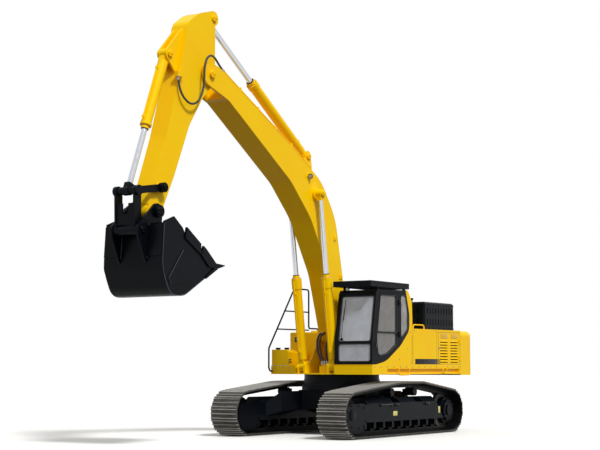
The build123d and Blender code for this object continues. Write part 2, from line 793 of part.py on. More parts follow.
side_window = ((940, 2030), (800, 3020), (-330, 3040), (-410, 2680), (-405, 2360), (60, 2030))
front_lean = Plane(origin=(deck_front_left, 0, 2030), x_dir=(0, 1, 0), z_dir=(1050, 0, 182))
pane = 6
door_thick = 45
door_hinge_x = 10
cab_hinge_heights = (2200, 2900)
pane_upper = (15, 1005)
pane_lower = (1612, 1985)
pane_rear = (2380, 2960)
glass_low = 610
glass_high = 1470


def pane_face(low, high):
    """Rounded pane outline across the cab's front or rear, given by its lowest and highest corners."""
    with Locations(((glass_low + glass_high) / 2, (low + high) / 2)):
        RectangleRounded(glass_high - glass_low - 60, high - low, 45)


front_lower = Plane(origin=(deck_front_left, 0, 0), x_dir=(0, 1, 0), z_dir=(1, 0, 0))
rear_face = Plane(origin=(-615, 0, 0), x_dir=(0, 1, 0), z_dir=(1, 0, 0))

with BuildPart() as cab_shell:
    with BuildSketch(upright(half_width)):
        rounded(cab_outline, cab_radii)
    extrude(amount=half_width - cab_right)
    with BuildSketch(upright(half_width - cab_wall)):
        rounded(cab_outline, cab_radii)
        offset(amount=-cab_wall, kind=Kind.INTERSECTION, mode=Mode.REPLACE)
    extrude(amount=half_width - cab_right - 2 * cab_wall, mode=Mode.SUBTRACT)
    with BuildSketch(upright(half_width + 1)):
        rounded(door_outline, door_radii)
        offset(amount=run, kind=Kind.INTERSECTION, mode=Mode.REPLACE)
        rounded(quarter_window, quarter_radii)
    extrude(amount=cab_wall + 2, mode=Mode.SUBTRACT)
    with BuildSketch(upright(cab_right + cab_wall + 1)):
        polygon(side_window)
    extrude(amount=cab_wall + 2, mode=Mode.SUBTRACT)
    with BuildSketch(front_lean.offset(-cab_wall - 40)):
        pane_face(*pane_upper)
    extrude(amount=cab_wall + 80, mode=Mode.SUBTRACT)
    with BuildSketch(front_lower.offset(-cab_wall - 10)):
        pane_face(*pane_lower)
    extrude(amount=cab_wall + 20, mode=Mode.SUBTRACT)
    with BuildSketch(rear_face.offset(-20)):
        pane_face(*pane_rear)
    extrude(amount=cab_wall + 70, mode=Mode.SUBTRACT)

with BuildPart() as cab_frame:
    add(cab_shell.part)
    with BuildSketch(upright(half_width + 1)):
        rounded(seam_outline, seam_radii)
    extrude(amount=half_width - cab_right + 2, mode=Mode.SUBTRACT)
    knuckles(door_hinge_x, half_width + knuckle, cab_hinge_heights, upper=False)
    for z in cab_hinge_heights:
        block((door_hinge_x - 40, half_width - 10, z - knuckle_length),
              (door_hinge_x - run, half_width + knuckle, z))
cab_frame.part.label = "cab_frame"
export_step(cab_frame.part, "parts/cab_frame.step")

with BuildPart() as cab_rear_shell:
    add(cab_shell.part)
    with BuildSketch(upright(half_width + 1)):
        rounded(seam_outline, seam_radii)
    extrude(amount=half_width - cab_right + 2, mode=Mode.INTERSECT)
cab_rear_shell.part.label = "cab_rear_shell"
export_step(cab_rear_shell.part, "parts/cab_rear_shell.step")

with BuildPart() as cab_door:
    with BuildSketch(upright(half_width)):
        rounded(door_outline, door_radii)
        rounded(door_window_upper, upper_radii, mode=Mode.SUBTRACT)
        rounded(door_window_lower, lower_radii, mode=Mode.SUBTRACT)
    extrude(amount=door_thick)
    knuckles(door_hinge_x, half_width + knuckle, cab_hinge_heights, upper=True)
    for z in cab_hinge_heights:
        block((door_hinge_x, half_width - 10, z + seat),
              (door_hinge_x + 40, half_width + knuckle, z + seat + knuckle_length))
cab_door.part.label = "cab_door"
export_step(cab_door.part, "parts/cab_door.step")

with BuildPart() as door_glass:
    with BuildSketch(upright(half_width - door_thick / 2)):
        rounded(door_window_upper, upper_radii)
        rounded(door_window_lower, lower_radii)
    extrude(amount=pane)
door_glass.part.label = "door_glass"
export_step(door_glass.part, "parts/door_glass.step")

with BuildPart() as cab_glass:
    with BuildSketch(upright(half_width - 15)):
        rounded(quarter_window, quarter_radii)
    extrude(amount=pane)
    with BuildSketch(upright(cab_right + 25)):
        polygon(side_window)
    extrude(amount=pane)
    with BuildSketch(front_lean.offset(-20)):
        pane_face(*pane_upper)
    extrude(amount=pane)
    with BuildSketch(front_lower.offset(-20)):
        pane_face(*pane_lower)
    extrude(amount=pane)
    with BuildSketch(rear_face.offset(30)):
        pane_face(*pane_rear)
    extrude(amount=pane)
cab_glass.part.label = "cab_glass"
export_step(cab_glass.part, "parts/cab_glass.step")

# Cab fittings: seat, two consoles with levers, and the roof guard on its feet

seat_x = 120
seat_y = (cab_right + half_width) / 2
floor_top = cab_floor + cab_wall
console_outer = (half_width - cab_right) / 2 - cab_wall - 25
console_inner = console_outer - 120
seat_half = console_inner - 20
pedal_x = deck_front_left - 427

with BuildPart() as operator_seat:
    block((seat_x - 150, seat_y - 150, floor_top), (seat_x + 150, seat_y + 150, floor_top + 260))
    block((seat_x - 260, seat_y - seat_half, floor_top + 260),
          (seat_x + 260, seat_y + seat_half, floor_top + 390))
    with BuildSketch(upright(seat_y)):
        polygon((
            (seat_x - 260, floor_top + 300), (seat_x - 130, floor_top + 300),
            (seat_x - 250, floor_top + 1100), (seat_x - 370, floor_top + 1080),
        ))
    extrude(amount=seat_half - 10, both=True)
operator_seat.part.label = "operator_seat"
export_step(operator_seat.part, "parts/operator_seat.step")

with BuildPart() as consoles:
    for side in (1, -1):
        near, far = sorted((seat_y + side * console_inner, seat_y + side * console_outer))
        block((seat_x - 200, near, floor_top), (seat_x + 330, far, floor_top + 480))
        with Locations((seat_x + 290, seat_y + side * (console_inner + console_outer) / 2, floor_top + 600)):
            Cylinder(radius=18, height=250)
    block((pedal_x - 30, seat_y - 200, floor_top), (pedal_x + 30, seat_y + 200, floor_top + 60))
    for side in (1, -1):
        with Locations((pedal_x, seat_y + side * 70, floor_top + 300)):
            Cylinder(radius=14, height=520)
consoles.part.label = "consoles"
export_step(consoles.part, "parts/consoles.step")

guard_low = 3220
guard_high = 3345
guard_rear = -440
guard_front = 1240
guard_bar = 60
slat_count = 12

with BuildPart() as roof_guard:
    block((guard_rear, cab_right + 20, guard_low), (guard_front, half_width + 20, guard_high))
    block((guard_rear + guard_bar, cab_right + 20 + guard_bar, guard_low - 1),
          (guard_front - guard_bar, half_width + 20 - guard_bar, guard_high + 1), mode=Mode.SUBTRACT)
    for index in range(slat_count):
        x = guard_rear + guard_bar + (index + 0.5) * (guard_front - guard_rear - 2 * guard_bar) / slat_count
        block((x - 14, cab_right + 30, guard_low + 15), (x + 14, half_width + 10, guard_high - 10))
    for x in (-330, 820):
        for y in (cab_right + 60, half_width - 60):
            block((x - 25, y - 25, 3140), (x + 25, y + 25, guard_low + 5))
    add(cab_shell.part, mode=Mode.SUBTRACT)
roof_guard.part.label = "roof_guard"
export_step(roof_guard.part, "parts/roof_guard.step")

# Digging front: boom, a box of the side outline with a fork for the arm, lugs on top, bosses for its cylinders

top_start = (1260, 5560)
top_bend = (2300, 6120)
top_end = (5010, 7440)
boom_outline = ((95, 2200), (690, 4800), top_start, top_bend, top_end, (5250, 7495), (5350, 7030),
                (4700, 6830), (2450, 5430), (1700, 4720), (960, 3560), (505, 2200))
boom_radii = (1, 1500, 1200, 300, 100, 40, 40, 400, 1200, 1500, 1000, 1)
main_pin = pin_radius + 5
main_bore = main_pin + pin_gap
foot_boss = 210
nose_boss = 240
fork_reach = 620
fork_half = 215
lug_inner = eye_width / 2 + seat
lug_outer = 110
lug_radius = 120
head_boss = 130
boom_lug = ((1330, 5450), (1440, 6140), (1660, 6060), (1960, 5900), (1900, 5600))
boom_cylinder_y = (web_outer + eye_width + 2 * seat + web_outer) / 2


with BuildPart() as boom:
    with BuildSketch(upright(0)):
        rounded(boom_outline, boom_radii)
        with Locations(boom_foot):
            Circle(foot_boss)
        with Locations(arm_pin):
            Circle(nose_boss)
    extrude(amount=boom_half, both=True)
    with Locations((boom_foot[0], 0, boom_foot[1])):
        Cylinder(radius=foot_boss - 60, height=2 * web_inner - 2 * seat, rotation=(90, 0, 0))
        Cylinder(radius=main_bore, height=2 * web_inner, rotation=(90, 0, 0), mode=Mode.SUBTRACT)
    with Locations((arm_pin[0], 0, arm_pin[1])):
        Cylinder(radius=fork_reach, height=2 * fork_half, rotation=(90, 0, 0), mode=Mode.SUBTRACT)
        Cylinder(radius=main_pin, height=2 * boom_half + 80, rotation=(90, 0, 0))
    with Locations((boom_cylinder_head[0], 0, boom_cylinder_head[1])):
        Cylinder(radius=head_boss, height=2 * web_outer, rotation=(90, 0, 0))
    for side in (1, -1):
        with BuildSketch(upright(side * (lug_inner + lug_outer) / 2)):
            polygon(boom_lug)
            with Locations(arm_cylinder_foot):
                Circle(lug_radius)
        extrude(amount=(lug_outer - lug_inner) / 2, both=True)
    with Locations((arm_cylinder_foot[0], 0, arm_cylinder_foot[1])):
        Cylinder(radius=pin_radius, height=2 * lug_outer + 40, rotation=(90, 0, 0))
boom.part.label = "boom"
export_step(boom.part, "parts/boom.step")

# Steel lines along the boom's top, in clamps, as distance left of the middle and end along the upper run
line_radius = 20
line_rise = 46
line_start = 480
line_end = 10
clamp_width = 40
line_runs = ((235, 2840), (185, 2300), (-185, 2300), (-235, 2840))
clamp_places = (120, 800, 1500, 2200)


def above_top(along, start, end, y, rise):
    """Point so far along the boom's top from start to end, raised square to it."""
    span = between(start, end)
    ux, uz = (end[0] - start[0]) / span, (end[1] - start[1]) / span
    return (start[0] + ux * along - uz * rise, y, start[1] + uz * along + ux * rise)


with BuildPart() as boom_lines:
    for y, reach in line_runs:
        path = (
            above_top(line_start, top_start, top_bend, y, line_rise),
            above_top(0, top_bend, top_end, y, line_rise), above_top(reach, top_bend, top_end, y, line_rise),
        )
        steel_tube(path, 250, line_radius)
        for along in (reach - 50, line_end + reach - 30):
            with BuildSketch(cross_plane(top_bend, top_end, along, y)):
                with Locations((0, line_rise)):
                    RegularPolygon(line_radius + 8, 6)
            extrude(amount=30)
    for along in clamp_places:
        for side in (1, -1):
            with BuildSketch(cross_plane(top_bend, top_end, along, side * 210)):
                with Locations((0, (line_rise + line_radius + 12 + seat) / 2)):
                    Rectangle(110, line_rise + line_radius + 12 - seat)
            extrude(amount=clamp_width)
boom_lines.part.label = "boom_lines"
export_step(boom_lines.part, "parts/boom_lines.step")

# Digging front: arm, with a forked ear for its cylinder, lugs for the bucket cylinder and a wide tip

arm_outline = ((5070, 8400), (5070, 7150), (5480, 6740), (5880, 6160), (6330, 5130), (6660, 4480), (6850, 4300),
               (7110, 4480), (6590, 5850), (6262, 6950), (5940, 8190), (5600, 8440), (5150, 8580))
arm_radii = (1, 150, 200, 600, 600, 200, 1, 60, 900, 900, 250, 700, 1)
ear_radius = 150
arm_boss = 200
tip_radius = 150
tip_tube = 85
tip_half = 290
ear_plate = 30
ear_slot_radius = 480
ear_inner_boss = 110
arm_lug = ((6150, 7080), (5930, 8060), (6020, 8060), (6470, 7575), (6440, 7388))
arm_port = (6300, 245, 7050)
link_boss = 80
link_bore = link_pin_radius + pin_gap

with BuildPart() as arm:
    with BuildSketch(upright(0)):
        rounded(arm_outline, arm_radii)
        with Locations(arm_cylinder_head):
            Circle(ear_radius)
        with Locations(arm_pin):
            Circle(arm_boss)
        with Locations(bucket_pin):
            Circle(tip_radius)
    extrude(amount=arm_half, both=True)
    with Locations((arm_cylinder_head[0], 0, arm_cylinder_head[1])):
        Cylinder(radius=ear_slot_radius, height=2 * (arm_half - ear_plate), rotation=(90, 0, 0),
                 mode=Mode.SUBTRACT)
    for side in (1, -1):
        middle = side * (lug_inner + arm_half - ear_plate / 2) / 2
        with Locations((arm_cylinder_head[0], middle, arm_cylinder_head[1])):
            Cylinder(radius=ear_inner_boss, height=arm_half - ear_plate / 2 - lug_inner, rotation=(90, 0, 0))
        with Locations((arm_cylinder_head[0], side * arm_half, arm_cylinder_head[1])):
            Cylinder(radius=pin_radius, height=40, rotation=(90, 0, 0))
        with BuildSketch(upright(side * (lug_inner + lug_outer) / 2)):
            polygon(arm_lug)
            with Locations(bucket_cylinder_foot):
                Circle(lug_radius - 10)
        extrude(amount=(lug_outer - lug_inner) / 2, both=True)
    with Locations((bucket_cylinder_foot[0], 0, bucket_cylinder_foot[1])):
        Cylinder(radius=pin_radius, height=2 * lug_outer + 40, rotation=(90, 0, 0))
    with Locations((bucket_pin[0], 0, bucket_pin[1])):
        Cylinder(radius=tip_tube, height=2 * tip_half, rotation=(90, 0, 0))
        Cylinder(radius=main_bore, height=2 * tip_half, rotation=(90, 0, 0), mode=Mode.SUBTRACT)
    block((arm_port[0] - 130, arm_half - 10, arm_port[2]),
          (arm_port[0] + 40, arm_port[1] + 30, arm_port[2] + 100))
    with Locations((idler_link_pin[0], 0, idler_link_pin[1])):
        Cylinder(radius=link_boss, height=2 * (idler_inner - 1), rotation=(90, 0, 0))
        Cylinder(radius=link_bore, height=2 * idler_inner, rotation=(90, 0, 0), mode=Mode.SUBTRACT)
    with Locations((arm_pin[0], 0, arm_pin[1])):
        Cylinder(radius=arm_boss - 30, height=2 * (fork_half - 1), rotation=(90, 0, 0))
        Cylinder(radius=main_bore, height=2 * fork_half, rotation=(90, 0, 0), mode=Mode.SUBTRACT)
arm.part.label = "arm"
export_step(arm.part, "parts/arm.step")

# Cylinders: for each, its two pins and its distances left of the middle, then along its line from the foot
# pin the barrel's start, bore and end, the gland's length, the radii of barrel and rod, the rod's length from
# its eye, the foot pin's radius, and on which side its steel line runs

cylinder_sets = {
    "boom": (boom_cylinder_foot, boom_cylinder_head, (boom_cylinder_y, -boom_cylinder_y),
             170, 200, 2030, 230, 100, 55, 2170, 50, -1),
    "arm": (arm_cylinder_foot, arm_cylinder_head, (0,), 170, 220, 2440, 110, 112, 62, 2820, 55, 1),
    "bucket": (bucket_cylinder_foot, rod_pin, (0,), 170, 215, 1645, 50, 100, 55, 1880, 55, 1),
}
gland = 13
neck_length = 70
neck_step = 22
eye_radius = 105
rod_eye_radius = 90
collar_step = 20
collar_length = 150
pipe_radius = 16
pipe_gap = 8
pipe_start = 330
pipe_block = 60
pin_cap = 75

for name, cylinder_set in cylinder_sets.items():
    foot, head, offsets, start, bore, end, gland_length = cylinder_set[:7]
    barrel, rod, rod_length, foot_pin, pipe_side = cylinder_set[7:]
    plural = "s" if len(offsets) > 1 else ""
    reach = between(foot, head)
    barrel_end = end - neck_length
    pipe_place = pipe_side * (barrel + pipe_gap + pipe_radius)
    with BuildPart() as cylinder_barrel:
        for y in offsets:
            for radius, near, far in (
                (barrel, start, barrel_end), (barrel + gland, barrel_end - gland_length, barrel_end),
                (barrel - neck_step, barrel_end - 1, end),
            ):
                with BuildSketch(cross_plane(foot, head, near, y)):
                    Circle(radius)
                extrude(amount=far - near)
            with BuildSketch(cross_plane(foot, head, 40, y)):
                Rectangle(eye_width, 2 * (eye_radius - 25))
            extrude(amount=start - 30)
            with BuildSketch(cross_plane(foot, head, pipe_start, y)):
                with Locations((0, pipe_place)):
                    Circle(pipe_radius)
            extrude(amount=barrel_end - pipe_block - pipe_start)
            for near in (pipe_start, barrel_end - gland_length - 2 * pipe_block):
                with BuildSketch(cross_plane(foot, head, near, y)):
                    with Locations((0, pipe_place - pipe_side * 20)):
                        Rectangle(2 * pipe_radius + 14, 3 * pipe_radius + 30)
                extrude(amount=pipe_block)
            with Locations((foot[0], y, foot[1])):
                Cylinder(radius=eye_radius, height=eye_width, rotation=(90, 0, 0))
                Cylinder(radius=foot_pin + pin_gap, height=eye_width + 2, rotation=(90, 0, 0),
                         mode=Mode.SUBTRACT)
            with BuildSketch(cross_plane(foot, head, bore, y)):
                Circle(rod + pin_gap)
            extrude(amount=end - bore + 1, mode=Mode.SUBTRACT)
    cylinder_barrel.part.label = f"{name}_barrel{plural}"
    export_step(cylinder_barrel.part, f"parts/{name}_barrel{plural}.step")
    with BuildPart() as cylinder_rod:
        for y in offsets:
            with BuildSketch(cross_plane(foot, head, reach - rod_length, y)):
                Circle(rod)
            extrude(amount=rod_length - collar_length - seat)
    cylinder_rod.part.label = f"{name}_rod{plural}"
    export_step(cylinder_rod.part, f"parts/{name}_rod{plural}.step")
    with BuildPart() as rod_eye:
        for y in offsets:
            with BuildSketch(cross_plane(foot, head, reach - collar_length, y)):
                Rectangle(eye_width, 2 * (rod + collar_step))
            extrude(amount=collar_length - rod_eye_radius / 2)
            with Locations((head[0], y, head[1])):
                Cylinder(radius=rod_eye_radius, height=eye_width, rotation=(90, 0, 0))
            if y:
                with Locations((head[0], y + (30 if y > 0 else -30), head[1])):
                    Cylinder(radius=pin_cap, height=eye_width, rotation=(90, 0, 0))
        if name == "bucket":
            with Locations((head[0], 0, head[1])):
                Cylinder(radius=pin_cap, height=2 * (link_inner - 2), rotation=(90, 0, 0))
    rod_eye.part.label = f"{name}_rod_eye{plural}"
    export_step(rod_eye.part, f"parts/{name}_rod_eye{plural}.step")

# Bucket linkage: two idler plates on the arm's pin, and the link that joins them to the bucket

link_end = 95
idler_waist = 70
idler_boss = 60
link_front = 55
link_plate_thick = 40
link_slot = eye_width + 20
link_slot_start = 300

with BuildPart() as idler_links:
    for side in (1, -1):
        with BuildSketch(upright(side * (idler_inner + idler_outer) / 2)):
            link_plate(idler_link_pin, rod_pin, idler_waist)
            with Locations(idler_link_pin, rod_pin):
                Circle(link_end)
        extrude(amount=(idler_outer - idler_inner) / 2, both=True)
        with Locations((idler_link_pin[0], side * (idler_outer + idler_boss / 2), idler_link_pin[1])):
            Cylinder(radius=link_end, height=idler_boss + 2, rotation=(90, 0, 0))
    with Locations((idler_link_pin[0], 0, idler_link_pin[1])):
        Cylinder(radius=link_pin_radius, height=2 * (idler_outer + idler_boss) + 20, rotation=(90, 0, 0))
idler_links.part.label = "idler_links"
export_step(idler_links.part, "parts/idler_links.step")

with BuildPart() as bucket_link:
    for side in (1, -1):
        with BuildSketch(upright(side * (link_inner + link_outer) / 2)):
            link_plate(bucket_link_pin, rod_pin, link_end)
        extrude(amount=(link_outer - link_inner) / 2, both=True)
    with Locations((bucket_link_pin[0], 0, bucket_link_pin[1])):
        Cylinder(radius=link_end, height=2 * tip_half, rotation=(90, 0, 0))
        Cylinder(radius=link_bore, height=2 * tip_half, rotation=(90, 0, 0), mode=Mode.SUBTRACT)
    with BuildSketch(cross_plane(bucket_link_pin, rod_pin, link_end)):
        with Locations((0, -link_front)):
            Rectangle(2 * link_inner + 10, link_plate_thick)
    extrude(amount=400)
    with BuildSketch(cross_plane(bucket_link_pin, rod_pin, link_slot_start)):
        with Locations((0, -link_front)):
            Rectangle(link_slot, link_plate_thick + 20)
    extrude(amount=300, mode=Mode.SUBTRACT)
bucket_link.part.label = "bucket_link"
export_step(bucket_link.part, "parts/bucket_link.step")

# Bucket: a wrapped shell between two side plates, with ears on its back

bucket_wall = 30
bucket_outline = (
    (5640, 3360), (6640, 2800), (7050, 2800), (7290, 3300), (7290, 3450), (7240, 4130), (6900, 4080),
)
bucket_radii = (1, 450, 300, 200, 1, 40, 1)
cavity_outline = (
    (5465, 3458), (6640, 2800), (7050, 2800), (7290, 3300), (7290, 3450), (7240, 4130), (6702, 4051),
    (6500, 4300), (5400, 3800),
)
cavity_radii = (1, 450, 300, 200, 1, 40, 1, 1, 1)
cheek_corner = ((6560, 3890), (6698, 4079), (6946, 4263), (7240, 4150), (7200, 4050), (6900, 4000))
ear_outline = (
    (6880, 4060), (6845, 4345), (6930, 4510), (7110, 4468), (7530, 4080), (7555, 3900), (7330, 3430),
    (7292, 3400), (7240, 4110),
)
ear_inner = tip_half + 1
ear_outer = ear_inner + 50
bucket_ear_radius = 150
link_ear_radius = 125

# Edge and wear plates: the lip, two stepped cutters on each side, the heel plate and the plates on the back
lip_outline = ((5560, 3425), (5640, 3355), (6000, 3153), (6010, 3190), (5660, 3420))
cutter_outlines = (
    ((5560, 3425), (5640, 3360), (5900, 3380), (6140, 3590), (6078, 3773), (5990, 3715), (5670, 3450)),
    ((6150, 3600), (6640, 3880), (6588, 4088), (6164, 3808)),
)
cutter_out = 30
heel_outline = (
    (6665, 3660), (7091, 3133), (7118, 3115), (7036, 2984), (6684, 3035), (6465, 3132), (6272, 3384),
)
heel_radii = (30, 60, 10, 30, 100, 60, 30)
wear_plate = 12
back_outline = ((7270, 3525), (7304, 3525), (7262, 4090), (7230, 4090))
back_inner = 349
back_outer = 690
ear_boss = 75

with BuildPart() as bucket:
    with BuildSketch(upright(0)):
        rounded(bucket_outline, bucket_radii)
        polygon(cheek_corner)
    extrude(amount=bucket_half, both=True)
    with BuildSketch(upright(0)):
        rounded(cavity_outline, cavity_radii)
        offset(amount=-bucket_wall, kind=Kind.INTERSECTION, mode=Mode.REPLACE)
        polygon(((6550, 3915), (6950, 4400), (7300, 4155), (7235, 4131), (6870, 4077), (6700, 4040)))
    extrude(amount=bucket_half - bucket_wall, both=True, mode=Mode.SUBTRACT)
    for side in (1, -1):
        with BuildSketch(upright(side * (ear_inner + ear_outer) / 2)):
            polygon(ear_outline)
            with Locations(bucket_pin):
                Circle(bucket_ear_radius)
            with Locations(bucket_link_pin):
                Circle(link_ear_radius)
        extrude(amount=(ear_outer - ear_inner) / 2, both=True)
    with Locations((bucket_pin[0], 0, bucket_pin[1])):
        Cylinder(radius=main_pin, height=2 * ear_outer + 40, rotation=(90, 0, 0))
    with Locations((bucket_link_pin[0], 0, bucket_link_pin[1])):
        Cylinder(radius=link_pin_radius, height=2 * ear_outer + 40, rotation=(90, 0, 0))
    with BuildSketch(upright(0)):
        polygon(lip_outline)
    extrude(amount=bucket_half + cutter_out, both=True)
    for side in (1, -1):
        with Locations((bucket_pin[0], side * (ear_outer + ear_boss / 2), bucket_pin[1])):
            Cylinder(radius=pin_boss, height=ear_boss + 2, rotation=(90, 0, 0))
        for outline in cutter_outlines:
            with BuildSketch(upright(side * (bucket_half + cutter_out / 2 - 10))):
                polygon(outline)
            extrude(amount=cutter_out / 2 + 10, both=True)
        with BuildSketch(upright(side * bucket_half)):
            rounded(heel_outline, heel_radii)
        extrude(amount=wear_plate, both=True)
        with BuildSketch(upright(side * (back_inner + back_outer) / 2)):
            polygon(back_outline)
        extrude(amount=(back_outer - back_inner) / 2, both=True)
bucket.part.label = "bucket"
export_step(bucket.part, "parts/bucket.step")

# Teeth along the bucket's edge, each an adapter with its point
tooth_outline = (
    (5860, 3290), (5640, 3360), (5560, 3370), (5340, 3435), (5345, 3450), (5590, 3470), (5700, 3420),
    (5870, 3330),
)
tooth_width = 130
tooth_y = [-610 + 305 * index for index in range(5)]

with BuildPart() as bucket_teeth:
    for y in tooth_y:
        with BuildSketch(upright(y)):
            polygon(tooth_outline)
        extrude(amount=tooth_width / 2, both=True)
    add(bucket.part, mode=Mode.SUBTRACT)
bucket_teeth.part.label = "bucket_teeth"
export_step(bucket_teeth.part, "parts/bucket_teeth.step")

# Hoses, each with one end on either side of a pivot
hose_radius = 22
hose_gap = 3
fitting_radius = 28
fitting_length = 60
arm_hose_route = (
    above_top(line_runs[0][1] + line_end + hose_gap, top_bend, top_end, line_runs[0][0], line_rise),
    (5000, 250, 7494), (5190, 295, 7600), (5380, 330, 7630), (5540, 340, 7520), (5600, 340, 7310),
    (5600, 340, 7040), (5660, 338, 6790), (5800, 330, 6600), (6000, 312, 6540), (6190, 290, 6650),
    (6295, 262, 6850),
    (arm_port[0], arm_port[1], arm_port[2] - hose_gap),
)
boom_hose_routes = {
    "boom_hose_1": ((620, -140, 2240), (740, -125, 2215), (860, -100, 2110), (915, -72, 1960), (915, -45, 1800),
                    (880, 0, 1660), (870, 40, 1560)),
    "boom_hose_2": ((620, -70, 2240), (740, -55, 2215), (860, -32, 2110), (915, -8, 1960), (915, 20, 1800),
                    (880, 62, 1660), (870, 100, 1560)),
    "boom_hose_3": ((620, 170, 2240), (740, 168, 2215), (860, 166, 2110), (915, 163, 1960), (915, 160, 1800),
                    (880, 160, 1660), (870, 162, 1560)),
    "boom_hose_4": ((620, 235, 2240), (740, 233, 2215), (860, 231, 2110), (915, 229, 1960), (915, 227, 1800),
                    (880, 225, 1660), (870, 224, 1560)),
}

for label, route in (("arm_hose", arm_hose_route), *boom_hose_routes.items()):
    with BuildPart() as flexible:
        hose(route, hose_radius)
    flexible.part.label = label
    export_step(flexible.part, f"parts/{label}.step")


def fitting_plane(end, following):
    """Plane at a hose's end that faces away from the hose."""
    outwards = Vector(*end) - Vector(*following)
    return Plane(origin=Vector(*end) + outwards.normalized() * seat, z_dir=outwards)


# Steel blocks and fittings that the hoses at the boom's foot start from on the boom and end on above the deck
with BuildPart() as boom_ports:
    block((470, -175, 2205), (580, 270, 2275))
    for route in boom_hose_routes.values():
        with BuildSketch(fitting_plane(route[0], route[1])):
            Circle(fitting_radius)
        extrude(amount=fitting_length)
    add(boom.part, mode=Mode.SUBTRACT)
boom_ports.part.label = "boom_ports"
export_step(boom_ports.part, "parts/boom_ports.step")

with BuildPart() as deck_ports:
    block((825, -10, deck_bottom + deck_plate + seat), (915, 265, 1520))
    for route in boom_hose_routes.values():
        with BuildSketch(fitting_plane(route[-1], route[-2])):
            Circle(fitting_radius)
        extrude(amount=fitting_length)
deck_ports.part.label = "deck_ports"
export_step(deck_ports.part, "parts/deck_ports.step")
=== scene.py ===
import json
import math

import bpy
import bmesh
from mathutils import Matrix, Vector


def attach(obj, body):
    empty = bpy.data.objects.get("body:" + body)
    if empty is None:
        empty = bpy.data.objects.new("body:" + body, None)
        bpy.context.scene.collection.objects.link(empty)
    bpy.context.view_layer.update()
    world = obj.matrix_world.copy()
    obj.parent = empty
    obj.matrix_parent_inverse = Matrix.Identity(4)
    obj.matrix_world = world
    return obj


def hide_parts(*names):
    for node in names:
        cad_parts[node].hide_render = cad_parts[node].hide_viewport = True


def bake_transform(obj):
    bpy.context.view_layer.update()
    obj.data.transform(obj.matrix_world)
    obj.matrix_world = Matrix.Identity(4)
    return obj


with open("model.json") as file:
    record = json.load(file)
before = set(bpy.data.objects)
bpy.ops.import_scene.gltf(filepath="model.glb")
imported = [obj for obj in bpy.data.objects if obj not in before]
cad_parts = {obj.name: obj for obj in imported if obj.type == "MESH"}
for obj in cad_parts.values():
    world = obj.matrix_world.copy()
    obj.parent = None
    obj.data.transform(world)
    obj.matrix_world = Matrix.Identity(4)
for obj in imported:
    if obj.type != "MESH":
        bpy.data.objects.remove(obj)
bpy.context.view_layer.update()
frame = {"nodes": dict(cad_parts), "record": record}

# Camera: the photograph's place and lens, on a frame of 600 by 450 pixels
CAMERA_PLACE = Vector((27.172, 16.927, 1.505))
CAMERA_YAW = math.radians(213.609)
CAMERA_PITCH = math.radians(5.734)
SENSOR_WIDTH = 36.0
FOCAL_PIXELS = 1408.13
FRAME_WIDTH = 600
FARTHEST_SEEN = 500


def from_angles(yaw, pitch):
    """Unit vector that points so far round from +X and so far up."""
    level = math.cos(pitch)
    return Vector((level * math.cos(yaw), level * math.sin(yaw), math.sin(pitch)))


def add_object(name, data):
    """New object in the scene."""
    made = bpy.data.objects.new(name, data)
    bpy.context.scene.collection.objects.link(made)
    return made


def make_camera():
    data = bpy.data.cameras.new("camera")
    data.sensor_width = SENSOR_WIDTH
    data.lens = FOCAL_PIXELS / FRAME_WIDTH * SENSOR_WIDTH
    data.clip_end = FARTHEST_SEEN
    camera = add_object("camera", data)
    camera.location = CAMERA_PLACE
    camera.rotation_euler = from_angles(CAMERA_YAW, CAMERA_PITCH).to_track_quat("-Z", "Y").to_euler()
    bpy.context.scene.camera = camera


make_camera()


# Materials: sizes of patterns and depths of relief are millimetres. Noise is given as the size of its
# patches, its detail and its roughness, and its span as its low and high and what they turn to
LIMITS = ("From Min", "From Max", "To Min", "To Max")
NOISE_ROUGHNESS = 0.55


def linear(hex_colour):
    """Linear RGBA of an sRGB hex colour."""
    channels = [int(hex_colour[i:i + 2], 16) / 255 for i in (0, 2, 4)]
    return [c / 12.92 if c <= 0.04045 else ((c + 0.055) / 1.055) ** 2.4 for c in channels] + [1.0]


def add_node(tree, kind, settings):
    """Adds a node with its properties, and its sockets' constants, hex colours or links."""
    node = tree.nodes.new("ShaderNode" + kind)
    for name, value in settings.items():
        if isinstance(name, str) and hasattr(node, name):
            setattr(node, name, value)
        elif isinstance(value, bpy.types.NodeSocket):
            tree.links.new(value, node.inputs[name])
        else:
            node.inputs[name].default_value = linear(value) if isinstance(value, str) else value
    return node


def make_material(name, surface):
    """Material with one Principled shader, set and linked as a function of the node tree says."""
    material = bpy.data.materials.new(name)
    material.use_nodes = True
    tree = material.node_tree
    tree.nodes.clear()
    shader = add_node(tree, "BsdfPrincipled", surface(tree))
    add_node(tree, "OutputMaterial", {"Surface": shader.outputs["BSDF"]})
    return material


def place_in_mm(tree, scale=(1, 1, 1)):
    """Object coordinates counted in millimetres."""
    coordinates = add_node(tree, "TexCoord", {}).outputs["Object"]
    scales = [1000 * s for s in scale]
    return add_node(tree, "Mapping", {"Scale": scales, "Vector": coordinates}).outputs["Vector"]


def patches(tree, place, noise, span):
    """Number that follows patches of noise over a span."""
    size, detail, rough = (*noise, NOISE_ROUGHNESS)[:3]
    settings = {"Scale": 1.0 / size, "Detail": detail, "Roughness": rough, "Vector": place}
    fac = add_node(tree, "TexNoise", settings).outputs["Fac"]
    return add_node(tree, "MapRange", {"Value": fac, **dict(zip(LIMITS, span))}).outputs["Result"]


def mottle(tree, place, noise, span, first, second):
    """Colour that goes from first to second in patches of noise."""
    factor = patches(tree, place, noise, span)
    return add_node(tree, "Mix", {"data_type": "RGBA", 0: factor, 6: first, 7: second}).outputs[2]


